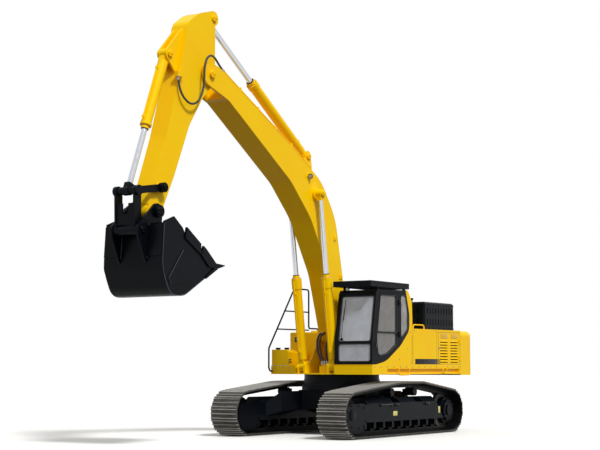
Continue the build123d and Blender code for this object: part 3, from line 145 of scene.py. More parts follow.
def relief(tree, place, noise, depth, strength):
    """Normal of a surface raised by noise."""
    height = patches(tree, place, noise, (0, 1))
    settings = {"Strength": strength, "Distance": depth / 1000, "Height": height}
    return add_node(tree, "Bump", settings).outputs["Normal"]


def enamel(name, colour, shade, dust, roughness, coat, gloss):
    """Sprayed alkyd enamel over welded plate: even colour, faint orange peel, a little dust in low relief."""
    def surface(tree):
        place = place_in_mm(tree)
        body = mottle(tree, place, (900, 4), (0.35, 0.7), colour, shade)
        return {
            "Metallic": 0.0, "IOR": 1.5, "Specular IOR Level": gloss,
            "Coat Weight": coat, "Coat Roughness": 0.12,
            "Base Color": mottle(tree, place, (160, 6, 0.7), (0.66, 0.9, 0.0, 0.12), body, dust),
            "Roughness": patches(tree, place, (60, 4), (0.3, 0.7, roughness - 0.05, roughness + 0.1)),
            # Orange peel is about 3 mm across; drawn at 9 mm so that it shows
            "Normal": relief(tree, place, (9, 1), 0.15, 0.25),
        }
    return make_material(name, surface)


def worn_steel(name, colour, bright, roughness):
    """Rolled manganese steel, browned by weather and mud, rubbed bright on its outside edges."""
    def surface(tree):
        place, streaked = place_in_mm(tree), place_in_mm(tree, (1, 0.15, 1))
        streaks = (35, 6, 0.65)
        brown = mottle(tree, streaked, streaks, (0.5, 0.9), colour, "1F1E1C")
        muddy = mottle(tree, place, (120, 5, 0.7), (0.6, 0.85, 0.0, 0.4), brown, "171513")
        pointed = add_node(tree, "NewGeometry", {}).outputs["Pointiness"]
        edges = add_node(tree, "MapRange", {"Value": pointed, "From Min": 0.52, "From Max": 0.66})
        rubbed = add_node(tree, "Math", {
            "operation": "MULTIPLY", 0: edges.outputs["Result"],
            1: patches(tree, streaked, streaks, (0.3, 0.6, 0.4, 1)),
        }).outputs[0]
        mix = add_node(tree, "Mix", {"data_type": "RGBA", 0: rubbed, 6: muddy, 7: bright})
        worn = {"Value": rubbed, "To Min": roughness + 0.12, "To Max": roughness - 0.1}
        return {
            "Metallic": 0.25, "Specular IOR Level": 0.08, "Base Color": mix.outputs[2],
            "Roughness": add_node(tree, "MapRange", worn).outputs["Result"],
            "Normal": relief(tree, place, (14, 5, 0.7), 0.8, 0.5),
        }
    return make_material(name, surface)


def chrome(tree):
    """Hard chrome ground round the rod: mirror bright, with faint hoop marks and an oil film."""
    return {
        "Metallic": 1.0, "Base Color": "C9CCD2",
        "Roughness": patches(tree, place_in_mm(tree), (45, 4), (0.3, 0.75, 0.08, 0.22)),
        "Normal": relief(tree, place_in_mm(tree, (1, 1, 6)), (10, 2), 0.02, 0.2),
    }


# The cab's glass is browner behind this x, where the side panes are
SCREEN_BEHIND = 930
SCREEN_BEFORE = 970


def glass(name, clear, film_colour, side_colour, share):
    """Toughened float glass with a grey tint; a film of dust on it scatters a share of the light."""
    def surface(tree):
        place = place_in_mm(tree)
        film = (260, 5, 0.65)
        forwards = add_node(tree, "SeparateXYZ", {"Vector": place}).outputs["X"]
        screen = {"Value": forwards, "From Min": SCREEN_BEHIND, "From Max": SCREEN_BEFORE}
        front = add_node(tree, "MapRange", screen).outputs["Result"]
        mix = add_node(tree, "Mix", {"data_type": "RGBA", 0: front, 6: side_colour, 7: film_colour})
        through = 1 - share
        return {
            "Metallic": 0.0, "IOR": 1.5, "Coat Weight": 0.6, "Coat Roughness": 0.03,
            "Base Color": mottle(tree, place, film, (0.35, 0.8), mix.outputs[2], clear),
            "Transmission Weight": patches(tree, place, film, (0.3, 0.8, through - 0.12, through + 0.12)),
            "Roughness": patches(tree, place, film, (0.35, 0.8, 0.02, 0.1)),
        }
    return make_material(name, surface)


def mottled(name, constants, colour, roughness, raised=None):
    """Material whose colour, roughness and relief each follow a noise."""
    def surface(tree):
        place = place_in_mm(tree)
        settings = {**constants, "Roughness": patches(tree, place, *roughness)}
        if colour:
            settings["Base Color"] = mottle(tree, place, *colour)
        if raised:
            settings["Normal"] = relief(tree, place, *raised)
        return settings
    return make_material(name, surface)


def patterned(name, constants, texture, pattern, output, colour, raised, stretch=(1, 1, 1)):
    """Material whose colour and relief follow a regular pattern, each over a span of its own."""
    def surface(tree):
        drawn = add_node(tree, texture, {**pattern, "Vector": place_in_mm(tree, stretch)}).outputs[output]

        def over(span):
            return add_node(tree, "MapRange", {"Value": drawn, **dict(zip(LIMITS, span))}).outputs["Result"]

        span, depth, strength = raised
        bump = {"Strength": strength, "Distance": depth / 1000, "Height": over(span)}
        settings = {**constants, "Normal": add_node(tree, "Bump", bump).outputs["Normal"]}
        if colour:
            span, first, second = colour
            mix = add_node(tree, "Mix", {"data_type": "RGBA", 0: over(span), 6: first, 7: second})
            settings["Base Color"] = mix.outputs[2]
        return settings
    return make_material(name, surface)


def cast_metal(name, colour, shade):
    """Sand-cast metal under thin primer: coarse grain and dull."""
    return mottled(
        name, {"Metallic": 0.2}, ((90, 5), (0.35, 0.75), colour, shade), ((40, 4), (0.3, 0.7, 0.5, 0.75)),
        ((8, 4, 0.7), 0.6, 0.6),
    )


def printed_film(name, colour):
    """Blank vinyl film with a satin face and dust caught on it."""
    return mottled(
        name, {"Metallic": 0.0, "Specular IOR Level": 0.2, "Coat Weight": 0.05, "Coat Roughness": 0.2},
        ((120, 4), (0.5, 0.9, 0, 0.12), colour, "8A8272"), ((40, 3), (0.3, 0.7, 0.35, 0.5)),
    )


# Enamel rubbed thin over weld beads, and dark red-brown enamel for the painted shade behind the louvres
RUBBED_ENAMEL = enamel("rubbed_enamel", "3E444C", "2C3138", "5A5A56", 0.35, 0.1, 0.3)
PAINTED_SHADE_ENAMEL = enamel("painted_shade_enamel", "5A1F12", "421710", "2A1A12", 0.6, 0.0, 0.1)
# Bright steel on the grousers' tips: partly worn steel, partly a painted highlight
WORN_AND_HIGHLIGHT_STEEL = worn_steel("worn_and_highlight_steel", "6C6B67", "B4B2AC", 0.34)
# Woven polyester on the seat: a fine plain weave with sheen, its threads drawn at 6 mm so that they show
CLOTH = patterned(
    "seat_cloth", {"Metallic": 0.0, "Roughness": 0.85, "Sheen Weight": 0.4},
    "TexWave", {"Scale": 1.0 / 6, "Distortion": 0.6, "Detail": 1.0}, "Fac",
    ((0, 1), "1B1C20", "2C2D33"), ((0, 1), 0.4, 0.6),
)
# Synthetic rubber hose cover: dull black with dusty patches and a cloth-wrap texture
RUBBER = mottled(
    "hose_rubber", {"Metallic": 0.0, "IOR": 1.52}, ((70, 5), (0.4, 0.8), "141414", "2A2927"),
    ((70, 5), (0.3, 0.8, 0.42, 0.62)), ((6, 1), 0.3, 0.4),
)
# Injection-moulded ABS with a leather-like grain of about 2 mm, drawn at 5 mm so that it shows
PLASTIC = mottled(
    "dark_plastic", {"Metallic": 0.0, "IOR": 1.46}, ((200, 3), (0.3, 0.7), "1D1E20", "26272A"),
    ((30, 3), (0.3, 0.7, 0.45, 0.6)), ((5, 2), 0.2, 0.5),
)
# Extruded EPDM gasket: deep black, softly shiny, with a fine moulded grain
GASKET = mottled(
    "gasket_rubber", {"Metallic": 0.0, "IOR": 1.5, "Base Color": "0C0D0F"}, None,
    ((40, 4), (0.3, 0.7, 0.4, 0.6)), ((5, 2), 0.15, 0.4),
)
# Zinc-plated bolts and fittings: bright, slightly cloudy with a little grime
ZINC = mottled(
    "zinc_plate", {"Metallic": 0.9}, ((30, 4), (0.4, 0.8), "A9A79F", "5A564E"), ((30, 4), (0.3, 0.8, 0.28, 0.5))
)
# Moulded polycarbonate lens with upright flutes
LENS = patterned(
    "lamp_lens",
    {"Metallic": 0.0, "IOR": 1.58, "Roughness": 0.08, "Base Color": "DADDDD", "Transmission Weight": 0.3},
    "TexWave", {"Scale": 1.0 / 24}, "Fac", None, ((0, 1), 2.0, 0.6),
)
# Punched sheet over the cooler: round holes in rows 30 mm apart, painted dark brown inside as painted shade
# behind them
GRILLE = patterned(
    "punched_grille", {"Metallic": 0.0, "Roughness": 0.42},
    "TexVoronoi", {"Scale": 1.0 / 30, "Randomness": 0.0}, "Distance",
    ((0.26, 0.32), "7A4A10", "E8B400"), ((0.24, 0.34), 1.5, 0.6),
)
# Rolled chequer plate for steps: raised bars 28 mm apart, worn paler on top
TREAD = patterned(
    "rolled_tread", {"Metallic": 0.3, "Roughness": 0.5},
    "TexVoronoi", {"Scale": 1.0 / 28, "Randomness": 0.15}, "Distance",
    ((0.2, 0.45), "5D5F60", "1C1E20"), ((0.2, 0.45, 1, 0), 2.0, 0.6), (1, 2.2, 1),
)
BLANK_BLACK = printed_film("blank_black_film", "060709")
BLANK_PALE = printed_film("blank_pale_film", "D9D27A")

SLOT_MATERIALS = {
    "yellow_paint": enamel("yellow_enamel", "FFD000", "FFC800", "E4B016", 0.34, 0.03, 0.08),
    "black_paint": enamel("black_enamel", "06090E", "0A0E14", "1A1C1D", 0.34, 0.02, 0.06),
    "frame_paint": enamel("chassis_enamel", "06090E", "0B0F15", "201F1C", 0.4, 0.02, 0.07),
    "track_steel": worn_steel("track_steel", "0B0C0D", "85837F", 0.45),
    "rod_chrome": make_material("hard_chrome", chrome),
    "window_glass": glass("front_glass", "DCE0E6", "D0D5DF", "8A837C", 0.5),
    "hose_rubber": RUBBER,
    "engine_iron": cast_metal("engine_iron", "3E4144", "2F3133"),
    "radiator_alloy": cast_metal("radiator_alloy", "3A3C3E", "232425"),
    "seat_fabric": CLOTH,
    "dark_plastic": PLASTIC,
}
NODE_MATERIALS = {"door_glass": glass("door_glass", "ADA79F", "7C766F", "7C766F", 0.3)}


# Shapes: sizes from here on are millimetres, and a side is 1 on the left and -1 on the right
SIDES = (1, -1)


def metres(place):
    """Point in metres from one in millimetres."""
    return Vector(place) / 1000


def on_plane(outline, y):
    """Points at one y from an outline in x and z."""
    return [(x, y, z) for x, z in outline]


def on_circle(index, count):
    """Cosine and sine of one of so many equal steps round a circle."""
    angle = 2 * math.pi * index / count
    return math.cos(angle), math.sin(angle)


def join_rings(bm, lower, upper, shift=0):
    """Band of faces between two rings of corners."""
    count = len(lower)
    for index in range(count):
        after = (index + 1) % count
        corners = lower[index], lower[after], upper[(after + shift) % count], upper[(index + shift) % count]
        bm.faces.new(corners)


def close_ends(bm, rings):
    bm.faces.new(rings[0][::-1])
    bm.faces.new(rings[-1])


def add_block(bm, low, high, edge=0.0):
    """Box between its lowest and highest corners, its edges rounded."""
    size = [(b - a) / 1000 for a, b in zip(low, high)]
    middle = metres([(a + b) / 2 for a, b in zip(low, high)])
    matrix = Matrix.Translation(middle) @ Matrix.Diagonal([*size, 1])
    made = bmesh.ops.create_cube(bm, size=1, matrix=matrix)
    if edge:
        edges = {e for v in made["verts"] for e in v.link_edges}
        bmesh.ops.bevel(bm, geom=list(edges), offset=edge / 1000, segments=2, profile=0.5, affect="EDGES")


def add_side_block(bm, side, face, low, high, inner, outer, edge=0.0):
    """Box between two corners' x and z, from inner to outer beyond a side face."""
    near, far = sorted((face + side * inner, face + side * outer))
    add_block(bm, (low[0], near, low[1]), (high[0], far, high[1]), edge)


def add_turned(bm, place, axis, profile, segments=24):
    """Solid turned about an axis through the place; profile rows are distance along it and radius."""
    matrix = Matrix.Translation(metres(place)) @ Vector(axis).to_track_quat("Z", "Y").to_matrix().to_4x4()
    rings = []
    for along, radius in profile:
        ring = []
        for index in range(segments):
            cosine, sine = on_circle(index, segments)
            ring.append(bm.verts.new(matrix @ metres((radius * cosine, radius * sine, along))))
        rings.append(ring)
    for lower, upper in zip(rings, rings[1:]):
        join_rings(bm, lower, upper)
    close_ends(bm, rings)


def add_bolt(bm, place, axis, across):
    """Hexagon bolt head on its washer."""
    radius = across / 2
    add_turned(bm, place, axis, ((-2, radius * 1.35), (4, radius * 1.35), (5, radius * 1.25)), 14)
    add_turned(bm, place, axis, ((3, radius * 1.1), (14, radius * 1.1), (18, radius * 0.85)), 6)


def add_plate(bm, outline, near, far, along_x=False):
    """Flat plate of an outline in x and z, from near to far in y; or in y and z, from near to far in x."""
    def corners(height):
        places = [(height, *pair) if along_x else (pair[0], height, pair[1]) for pair in outline]
        return [bm.verts.new(metres(place)) for place in places]

    bottom, top = corners(near), corners(far)
    faces = [bm.faces.new(bottom), bm.faces.new(top[::-1])]
    for index in range(len(outline)):
        after = (index + 1) % len(outline)
        faces.append(bm.faces.new((bottom[after], bottom[index], top[index], top[after])))
    bmesh.ops.recalc_face_normals(bm, faces=faces)


def round_off(points, radius, closed=False, steps=5):
    """Points of a bent tube's line: each corner replaced by a short arc."""
    points = [Vector(point) for point in points]
    count = len(points)
    result = []
    for index, corner in enumerate(points):
        if not closed and index in (0, count - 1):
            result.append(corner)
            continue
        before = points[index - 1] - corner
        after = points[(index + 1) % count] - corner
        reach = min(radius, 0.48 * before.length, 0.48 * after.length)
        first, last = corner + before.normalized() * reach, corner + after.normalized() * reach
        for step in range(steps + 1):
            t = step / steps
            result.append(first * (1 - t) ** 2 + corner * 2 * t * (1 - t) + last * t * t)
    return result


def add_tube(bm, points, radius, sides, closed=False):
    """Round tube along a line of points."""
    points = [metres(point) for point in points]
    count = len(points)
    rings = []
    across = None
    for index, point in enumerate(points):
        before = points[index - 1] if closed or index else point
        after = points[(index + 1) % count] if closed or index < count - 1 else point
        along = (after - before).normalized()
        if across is None:
            across = along.orthogonal().normalized()
        across = (across - along * across.dot(along)).normalized()
        other = along.cross(across)
        ring = []
        for step in range(sides):
            cosine, sine = on_circle(step, sides)
            ring.append(bm.verts.new(point + (across * cosine + other * sine) * radius / 1000))
        rings.append(ring)
    for lower, upper in zip(rings, rings[1:]):
        join_rings(bm, lower, upper)
    if closed:
        first, last = rings[0], rings[-1]
        nearest = min(range(sides), key=lambda step: (first[step].co - last[0].co).length)
        join_rings(bm, last, first, nearest)
    else:
        close_ends(bm, rings)


# Edges sharper than so many degrees stay sharp
PIECE_SMOOTHING = 32
HOSE_SMOOTHING = 40


def smooth_mesh(name, bm, material, angle):
    """Mesh with one material, shaded smooth but for its sharp edges."""
    data = bpy.data.meshes.new(name)
    bm.to_mesh(data)
    bm.free()
    data.materials.append(material)
    for face in data.polygons:
        face.use_smooth = True
    data.set_sharp_from_angle(angle=math.radians(angle))
    return data


def make_piece(name, bm, body, slot, material=None):
    """Turns the mesh in hand into a piece that rides a body, with its slot's material unless given another."""
    piece = add_object(name, smooth_mesh(name, bm, material or SLOT_MATERIALS[slot], PIECE_SMOOTHING))
    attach(piece, body)
    return piece


# Hoses: routes as in the CAD model
ARM_HOSE_ROUTE = (
    (4844.8, 235, 7410.7), (5000, 250, 7494), (5190, 295, 7600), (5380, 330, 7630), (5540, 340, 7520),
    (5600, 340, 7310), (5600, 340, 7040), (5660, 338, 6790), (5800, 330, 6600), (6000, 312, 6540),
    (6190, 290, 6650), (6295, 262, 6850), (6300, 245, 7047),
)
# The boom's hoses bend alike in x and z, and each has its own y at every point
BOOM_HOSE_BEND = ((620, 2240), (740, 2215), (860, 2110), (915, 1960), (915, 1800), (880, 1660), (870, 1560))
BOOM_HOSE_OFFSETS = {
    "boom_hose_1": (-140, -125, -100, -72, -45, 0, 40),
    "boom_hose_2": (-70, -55, -32, -8, 20, 62, 100),
    "boom_hose_3": (170, 168, 166, 163, 160, 160, 162),
    "boom_hose_4": (235, 233, 231, 229, 227, 225, 224),
}
HOSE_RADIUS = 22
# Each hose: its route, then for each end its body, where it bends from in metres, and its direction out
HOSES = {
    "arm_hose": (
        ARM_HOSE_ROUTE,
        ("boom_body", (4.9, 0.24, 7.45), (-0.899, 0, -0.438)), ("arm_body", (6.29, 0.25, 6.98), (0, 0, 1)),
    ),
    **{
        name: (
            [(x, y, z) for (x, z), y in zip(BOOM_HOSE_BEND, ys)],
            ("boom_body", (0.64, 0, 2.24), (-0.97, 0, 0.2)), ("upper", (0.87, 0, 1.6), (-0.1, 0, -1)),
        )
        for name, ys in BOOM_HOSE_OFFSETS.items()
    },
}


def nurbs_line(route):
    """Points of the smooth line whose control points are the route's, in metres."""
    curve = bpy.data.curves.new("route", "CURVE")
    curve.dimensions = "3D"
    curve.resolution_u = 16
    spline = curve.splines.new("NURBS")
    spline.points.add(len(route) - 1)
    for point, place in zip(spline.points, route):
        point.co = (*metres(place), 1)
    spline.order_u = 3
    spline.use_endpoint_u = True
    holder = bpy.data.objects.new("route", curve)
    line = bpy.data.meshes.new_from_object(holder)
    points = [vertex.co.copy() for vertex in line.vertices]
    bpy.data.objects.remove(holder)
    bpy.data.meshes.remove(line)
    return points


def make_hose(node, route, first, second):
    """Braided hose as a tube along a smooth line through its route."""
    line = nurbs_line(route)
    bm = bmesh.new()
    add_tube(bm, [point * 1000 for point in line], HOSE_RADIUS, 16)
    name = node + "_cover"
    piece = add_object(name, smooth_mesh(name, bm, RUBBER, HOSE_SMOOTHING))
    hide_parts(node)
    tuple(first[1])
    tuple(second[1])
    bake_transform(piece)
    length = sum((b - a).length for a, b in zip(line, line[1:]))
    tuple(line[0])


for name, hose in HOSES.items():
    make_hose(name, *hose)

for entry in frame["record"]["subparts"]:
    shown = frame["nodes"][entry["node"]]
    shown.data.materials.clear()
    shown.data.materials.append(NODE_MATERIALS.get(entry["node"], SLOT_MATERIALS[entry["material_slot"]]))


# Pins: end caps with a keeper plate and three bolts, at x and z, the cap's face from the middle, its radius
PIN_CAPS = {
    "boom_foot_caps": ("upper", 300, 2250, 361, 78),
    "arm_pin_caps": ("boom_body", 5283, 7261, 316, 80),
    "arm_cylinder_foot_caps": ("boom_body", 1550, 6100, 131, 68),
    "arm_cylinder_head_caps": ("arm_body", 5120, 8430, 221, 68),
    "bucket_cylinder_foot_caps": ("arm_body", 6400, 7490, 131, 68),
    "boom_cylinder_head_caps": ("boom_rods_body", 1520, 5260, 491, 62),
    "boom_cylinder_foot_caps": ("upper", 970, 1500, 492, 62),
    "idler_caps": ("idler_body", 6790, 4840, 361, 58),
    "bucket_pin_caps": ("bucket_body", 6994, 4371, 417, 88),
    "bucket_link_caps": ("bucket_body", 7430, 4000, 362, 60),
}
BLACK_BODIES = ("idler_body", "bucket_body")
CAP_BOLT_ANGLES = (0.5, 2.6, 4.7)


def make_pin_caps(name, body, x, z, face, radius):
    bm = bmesh.new()
    for side in SIDES:
        axis = (0, side, 0)
        place = (x, side * face, z)
        add_turned(bm, place, axis, ((-4, radius), (10, radius), (16, radius - 6)), 32)
        add_turned(bm, place, axis, ((12, radius * 0.3), (24, radius * 0.3), (28, radius * 0.22)), 16)
        keeper = (x - radius * 0.95, z - 14), (x - radius * 0.35, z + 14)
        add_side_block(bm, side, side * face, *keeper, 14, 26, 3)
        ring = radius * 0.68
        for angle in CAP_BOLT_ANGLES:
            spot = (x + ring * math.cos(angle), side * (face + 16), z + ring * math.sin(angle))
            add_bolt(bm, spot, axis, 20)
    make_piece(name, bm, body, "black_paint" if body in BLACK_BODIES else "yellow_paint")


for name, cap in PIN_CAPS.items():
    make_pin_caps(name, *cap)


# Cylinders: black wiper seal where each rod leaves its barrel, with a ring of gland bolts. Each has its
# barrel's body, its foot's and head's x and z, its y's, the barrel's length, and the neck's and rod's radius
CYLINDERS = {
    "boom": ("boom_barrels_body", (970, 1500), (1520, 5260), (395.6, -395.6), 2030, 78, 55),
    "arm": ("arm_barrel_body", (1550, 6100), (5120, 8430), (0,), 2440, 90, 62),
    "bucket": ("bucket_barrel_body", (6400, 7490), (7450, 4730), (0,), 1645, 78, 55),
}
GLAND_BOLTS = 8
LEFTWARDS = Vector((0, 1, 0))


def make_rod_seals(name, body, foot, head, offsets, end, neck, rod):
    run = Vector((head[0] - foot[0], 0, head[1] - foot[1])).normalized()
    across = run.cross(LEFTWARDS).normalized()
    seals, heads = bmesh.new(), bmesh.new()
    for y in offsets:
        face = Vector((foot[0], y, foot[1])) + run * end
        add_turned(seals, face, run, ((-1, neck - 6), (8, neck - 6), (16, rod + 4), (17, rod + 1)), 36)
        for index in range(GLAND_BOLTS):
            cosine, sine = on_circle(index + 0.5, GLAND_BOLTS)
            add_bolt(heads, face - run * 70 + (across * cosine + LEFTWARDS * sine) * (neck + 12), run, 18)
    make_piece(name + "_rod_seals", seals, body, "hose_rubber", GASKET)
    make_piece(name + "_gland_bolts", heads, body, "yellow_paint", ZINC)


for name, cylinder in CYLINDERS.items():
    make_rod_seals(name, *cylinder)


# Cab: gaskets round its windows, wiper, door handle, monitor and grips
DOOR_WINDOW_UPPER = ((930, 2255), (795, 3005), (762, 3040), (90, 3052), (90, 2255))
DOOR_WINDOW_LOWER = ((945, 2225), (955, 2060), (905, 1790), (820, 1735), (480, 1790), (90, 1990), (90, 2225))
QUARTER_WINDOW = ((-95, 3070), (-335, 3075), (-415, 2680), (-410, 2330), (-95, 2110))
SIDE_WINDOW = ((940, 2030), (800, 3020), (-330, 3040), (-410, 2680), (-405, 2360), (60, 2030))
HALF_WIDTH = 1490
CAB_RIGHT = 540
CAB_FRONT = 1157
CAB_REAR = -621
# The front and rear windows' right and left edges, and their heights (the screen's along its slope)
PANE_RIGHT, PANE_LEFT = 640, 1440
SCREEN_RISES = (15, 1005)
FRONT_PANE_HEIGHTS = (1612, 1985)
REAR_PANE_HEIGHTS = (2380, 2960)
# The windscreen's plane rises from this corner and leans back by 182 in 1050
SCREEN_FOOT = Vector((CAB_FRONT, 0, 2030))
SCREEN_RISE = Vector((-182, 0, 1050)).normalized()
SCREEN_OUT = Vector((1050, 0, 182)).normalized()
WIPER_PIVOT = (720, 60)
GRIP_PROFILE = ((-40, 20), (-10, 26), (30, 30), (52, 22), (58, 6))


def side_gasket(bm, outline, y, radius=45):
    """Gasket round a window's outline on an upright side plane."""
    add_tube(bm, round_off(on_plane(outline, y), radius, closed=True), 9, 8, closed=True)


def pane_gasket(bm, place, heights):
    """Gasket round a front or rear pane, whose corners a function places by y and height."""
    low, high = heights
    corners = ((PANE_RIGHT, low), (PANE_RIGHT, high), (PANE_LEFT, high), (PANE_LEFT, low))
    add_tube(bm, round_off([place(y, z) for y, z in corners], 60, closed=True), 10, 8, closed=True)


def screen_point(y, rise, proud):
    """Point so far proud of the windscreen's outside and so far up it from its foot."""
    return SCREEN_FOOT + SCREEN_RISE * rise + Vector((0, y, 0)) + SCREEN_OUT * proud


def make_cab_trim():
    door = bmesh.new()
    for outline in (DOOR_WINDOW_UPPER, DOOR_WINDOW_LOWER):
        side_gasket(door, outline, HALF_WIDTH - 1)
    make_piece("door_gaskets", door, "cab_side_door", "hose_rubber", GASKET)

    fixed = bmesh.new()
    side_gasket(fixed, QUARTER_WINDOW, HALF_WIDTH - 1, 80)
    side_gasket(fixed, SIDE_WINDOW, CAB_RIGHT + 1)
    pane_gasket(fixed, lambda y, rise: screen_point(y, rise, -2), SCREEN_RISES)
    pane_gasket(fixed, lambda y, z: (CAB_FRONT - 1, y, z), FRONT_PANE_HEIGHTS)
    pane_gasket(fixed, lambda y, z: (CAB_REAR, y, z), REAR_PANE_HEIGHTS)
    make_piece("window_gaskets", fixed, "upper", "hose_rubber", GASKET)

    wiper = bmesh.new()
    add_turned(wiper, screen_point(*WIPER_PIVOT, -4), SCREEN_OUT, ((0, 26), (26, 26), (34, 18)), 20)
    arm = [screen_point(*WIPER_PIVOT, 26), screen_point(730, 420, 34), screen_point(735, 760, 18)]
    add_tube(wiper, arm, 7, 8)
    add_tube(wiper, [screen_point(735, 480, 12), screen_point(735, 940, 12)], 6, 8)
    make_piece("screen_wiper", wiper, "upper", "black_paint")

    handle = bmesh.new()
    add_side_block(handle, 1, HALF_WIDTH, (958, 1900), (1010, 2010), -2, 6, 6)
    bow = [(985, HALF_WIDTH + out, z) for out, z in ((0, 1915), (30, 1915), (30, 1995), (0, 1995))]
    add_tube(handle, round_off(bow, 14), 7, 10)
    make_piece("door_handle", handle, "cab_side_door", "dark_plastic")

    inside = bmesh.new()
    add_block(inside, (800, 610, 2240), (840, 850, 2420), 12)
    add_block(inside, (812, 700, 2120), (830, 760, 2245), 4)
    for y in (745, 1285):
        add_turned(inside, (410, y, 2340), (0.2, 0, 1), GRIP_PROFILE, 20)
    make_piece("monitor_and_grips", inside, "upper", "dark_plastic")


make_cab_trim()


# Lamps: body, place, aim and radius
WORK_LAMPS = {
    "guard_lamp": ("upper", (1190, 900, 3168), (1, 0, -0.15), 40),
    "boom_lamp": ("boom_body", (1800, 332, 5610), (0.8, 0.2, -0.5), 56),
}
BOWL_PROFILE = ((-1.1, 0.45), (-0.7, 0.85))


def make_work_lamp(name, body, place, aim, radius):
    """Round lamp: a bowl with a rim, and its fluted lens."""
    bowl, lens = bmesh.new(), bmesh.new()
    back = [(radius * along, radius * share) for along, share in BOWL_PROFILE]
    rim = ((0, radius * 1.02), (8, radius * 1.08), (16, radius * 1.02))
    add_turned(bowl, place, aim, (*back, *rim), 28)
    face = ((14, radius * 0.92), (20, radius * 0.9), (25, radius * 0.6), (27, radius * 0.2))
    add_turned(lens, place, aim, face, 28)
    make_piece(name, bowl, body, "black_paint")
    make_piece(name + "_lens", lens, body, "window_glass", LENS)


for name, lamp in WORK_LAMPS.items():
    make_work_lamp(name, *lamp)


# House sides: louvre lips, latches, blank bands, punched panels, panel lines and bolts
LOUVRE_COLUMNS = ((-2820, -2440), (-2310, -1920))
LOUVRE_ROWS = 8
LOUVRE_LOW = 1590
LOUVRE_PITCH = 66
LOUVRE_HEIGHT = 30


def make_service_door_trim(name, body, side):
    """Pressed lips over the louvres, a dark red-brown sheet of painted shade behind them, punched panels above,
    and a round latch.
    """
    face = side * HALF_WIDTH
    lips, shade, panels, latch = (bmesh.new() for _ in range(4))
    for first, last in LOUVRE_COLUMNS:
        for row in range(LOUVRE_ROWS):
            top = LOUVRE_LOW + row * LOUVRE_PITCH + LOUVRE_HEIGHT
            outer = face + side * 9
            lip = ((face - side * 6, top + 1), (outer, top - 6), (outer, top - 1), (face, top + 8))
            add_plate(lips, lip, first + 4, last - 4, along_x=True)
        add_side_block(panels, side, face, (first + 20, 2150), (last - 20, 2272), -2, 3, 1)
    # Painted shade: a dark red-brown sheet set behind the louvres stands for the shade there
    add_side_block(shade, side, face, (-2830, 1575), (-1910, 2095), -44, -39, 1)
    add_turned(latch, (-1880, face, 1925), (0, side, 0), ((-2, 30), (5, 30), (8, 24), (9, 10)), 24)
    add_side_block(latch, side, face, (-1900, 1917), (-1860, 1933), 5, 14, 3)
    make_piece(name + "_louvre_lips", lips, body, "yellow_paint")
    make_piece(name + "_louvre_shade", shade, body, "black_paint", PAINTED_SHADE_ENAMEL)
    make_piece(name + "_punched_panels", panels, body, "yellow_paint", GRILLE)
    make_piece(name + "_latch", latch, body, "black_paint", ZINC)


make_service_door_trim("radiator_door", "radiator_side_door", 1)
make_service_door_trim("pump_door", "pump_side_door", -1)

BAND_LOW, BAND_HIGH = 1552, 1674
BAND_STRIPES = 5
CAB_REAR_SEAM = ((-595, 1548), (-587, 2190))
# Lines between the panels and round each service door, as opposite corners in x and z
HOUSE_SEAMS = (
    ((-1764, 1530), (-1757, 2345)), ((-2946, 1400), (-2940, 2345)), ((-2884, 1556), (-2876, 2294)),
    ((-1844, 1556), (-1836, 2294)), ((-2884, 1554), (-1836, 1560)), ((-2884, 2289), (-1836, 2295)),
)
# Bolts along the sill, which the right side has as far forward as the box, and those on the panels
SILL_BOLT_XS = range(-2850, 1100, 280)
SILL_BOLT_Z = 1499
RIGHT_SILL_FRONT = 600
PANEL_BOLTS = (
    (-525, 2270), (-553, 1592), (-374, 1897), (-9, 1667), (-700, 2310), (-1700, 2310), (-1700, 1590),
)
RIGHT_PANEL_FRONT = -1010


def make_side_trim():
    """Bands, panel lines and bolts of the yellow house itself."""
    bands = bmesh.new()
    add_side_block(bands, 1, HALF_WIDTH, (-1800, BAND_LOW), (-730, BAND_HIGH), -2, 2, 1)
    for index in range(BAND_STRIPES):
        front = -1826 - index * 24
        add_side_block(bands, 1, HALF_WIDTH, (front - 14 + index * 2, BAND_LOW), (front, BAND_HIGH), -2, 2, 1)
    make_piece("blank_side_band", bands, "upper", "black_paint", BLANK_BLACK)

    seams, bolts = bmesh.new(), bmesh.new()
    for side in SIDES:
        face = side * HALF_WIDTH
        for low, high in (CAB_REAR_SEAM, *HOUSE_SEAMS) if side > 0 else HOUSE_SEAMS:
            add_side_block(seams, side, face, low, high, -4, 1.2)
        for x in SILL_BOLT_XS:
            if side > 0 or x < RIGHT_SILL_FRONT:
                add_bolt(bolts, (x, face - side, SILL_BOLT_Z), (0, side, 0), 18)
        for x, z in PANEL_BOLTS:
            if side > 0 or x < RIGHT_PANEL_FRONT:
                add_bolt(bolts, (x, face - side, z), (0, side, 0), 15)
    make_piece("panel_seams", seams, "upper", "black_paint", GASKET)
    make_piece("side_bolts", bolts, "upper", "yellow_paint", ZINC)


make_side_trim()

# Counterweight and hood
EYE_XS = (-3560, -3420)
COUNTERWEIGHT_TOP = 2349
BALLAST_BOLTS = ((-3838, -620), (-3838, 620))
# Exhaust and intake: each one's x and y on the hood's top, and its profile
HOOD_TOP = 2998
STACKS = (
    (-2450, -560, ((-2, 105), (10, 105), (14, 78), (110, 78), (116, 84), (124, 84), (124, 70), (30, 70))),
    (-2050, 620, ((-2, 92), (8, 92), (12, 70), (60, 70), (84, 92), (110, 92), (118, 70))),
)
HOOD_SIDE = 1249
HOOD_BOLT_XS = range(-3050, -1600, 240)
HOOD_BOLT_ZS = (2935, 2395)


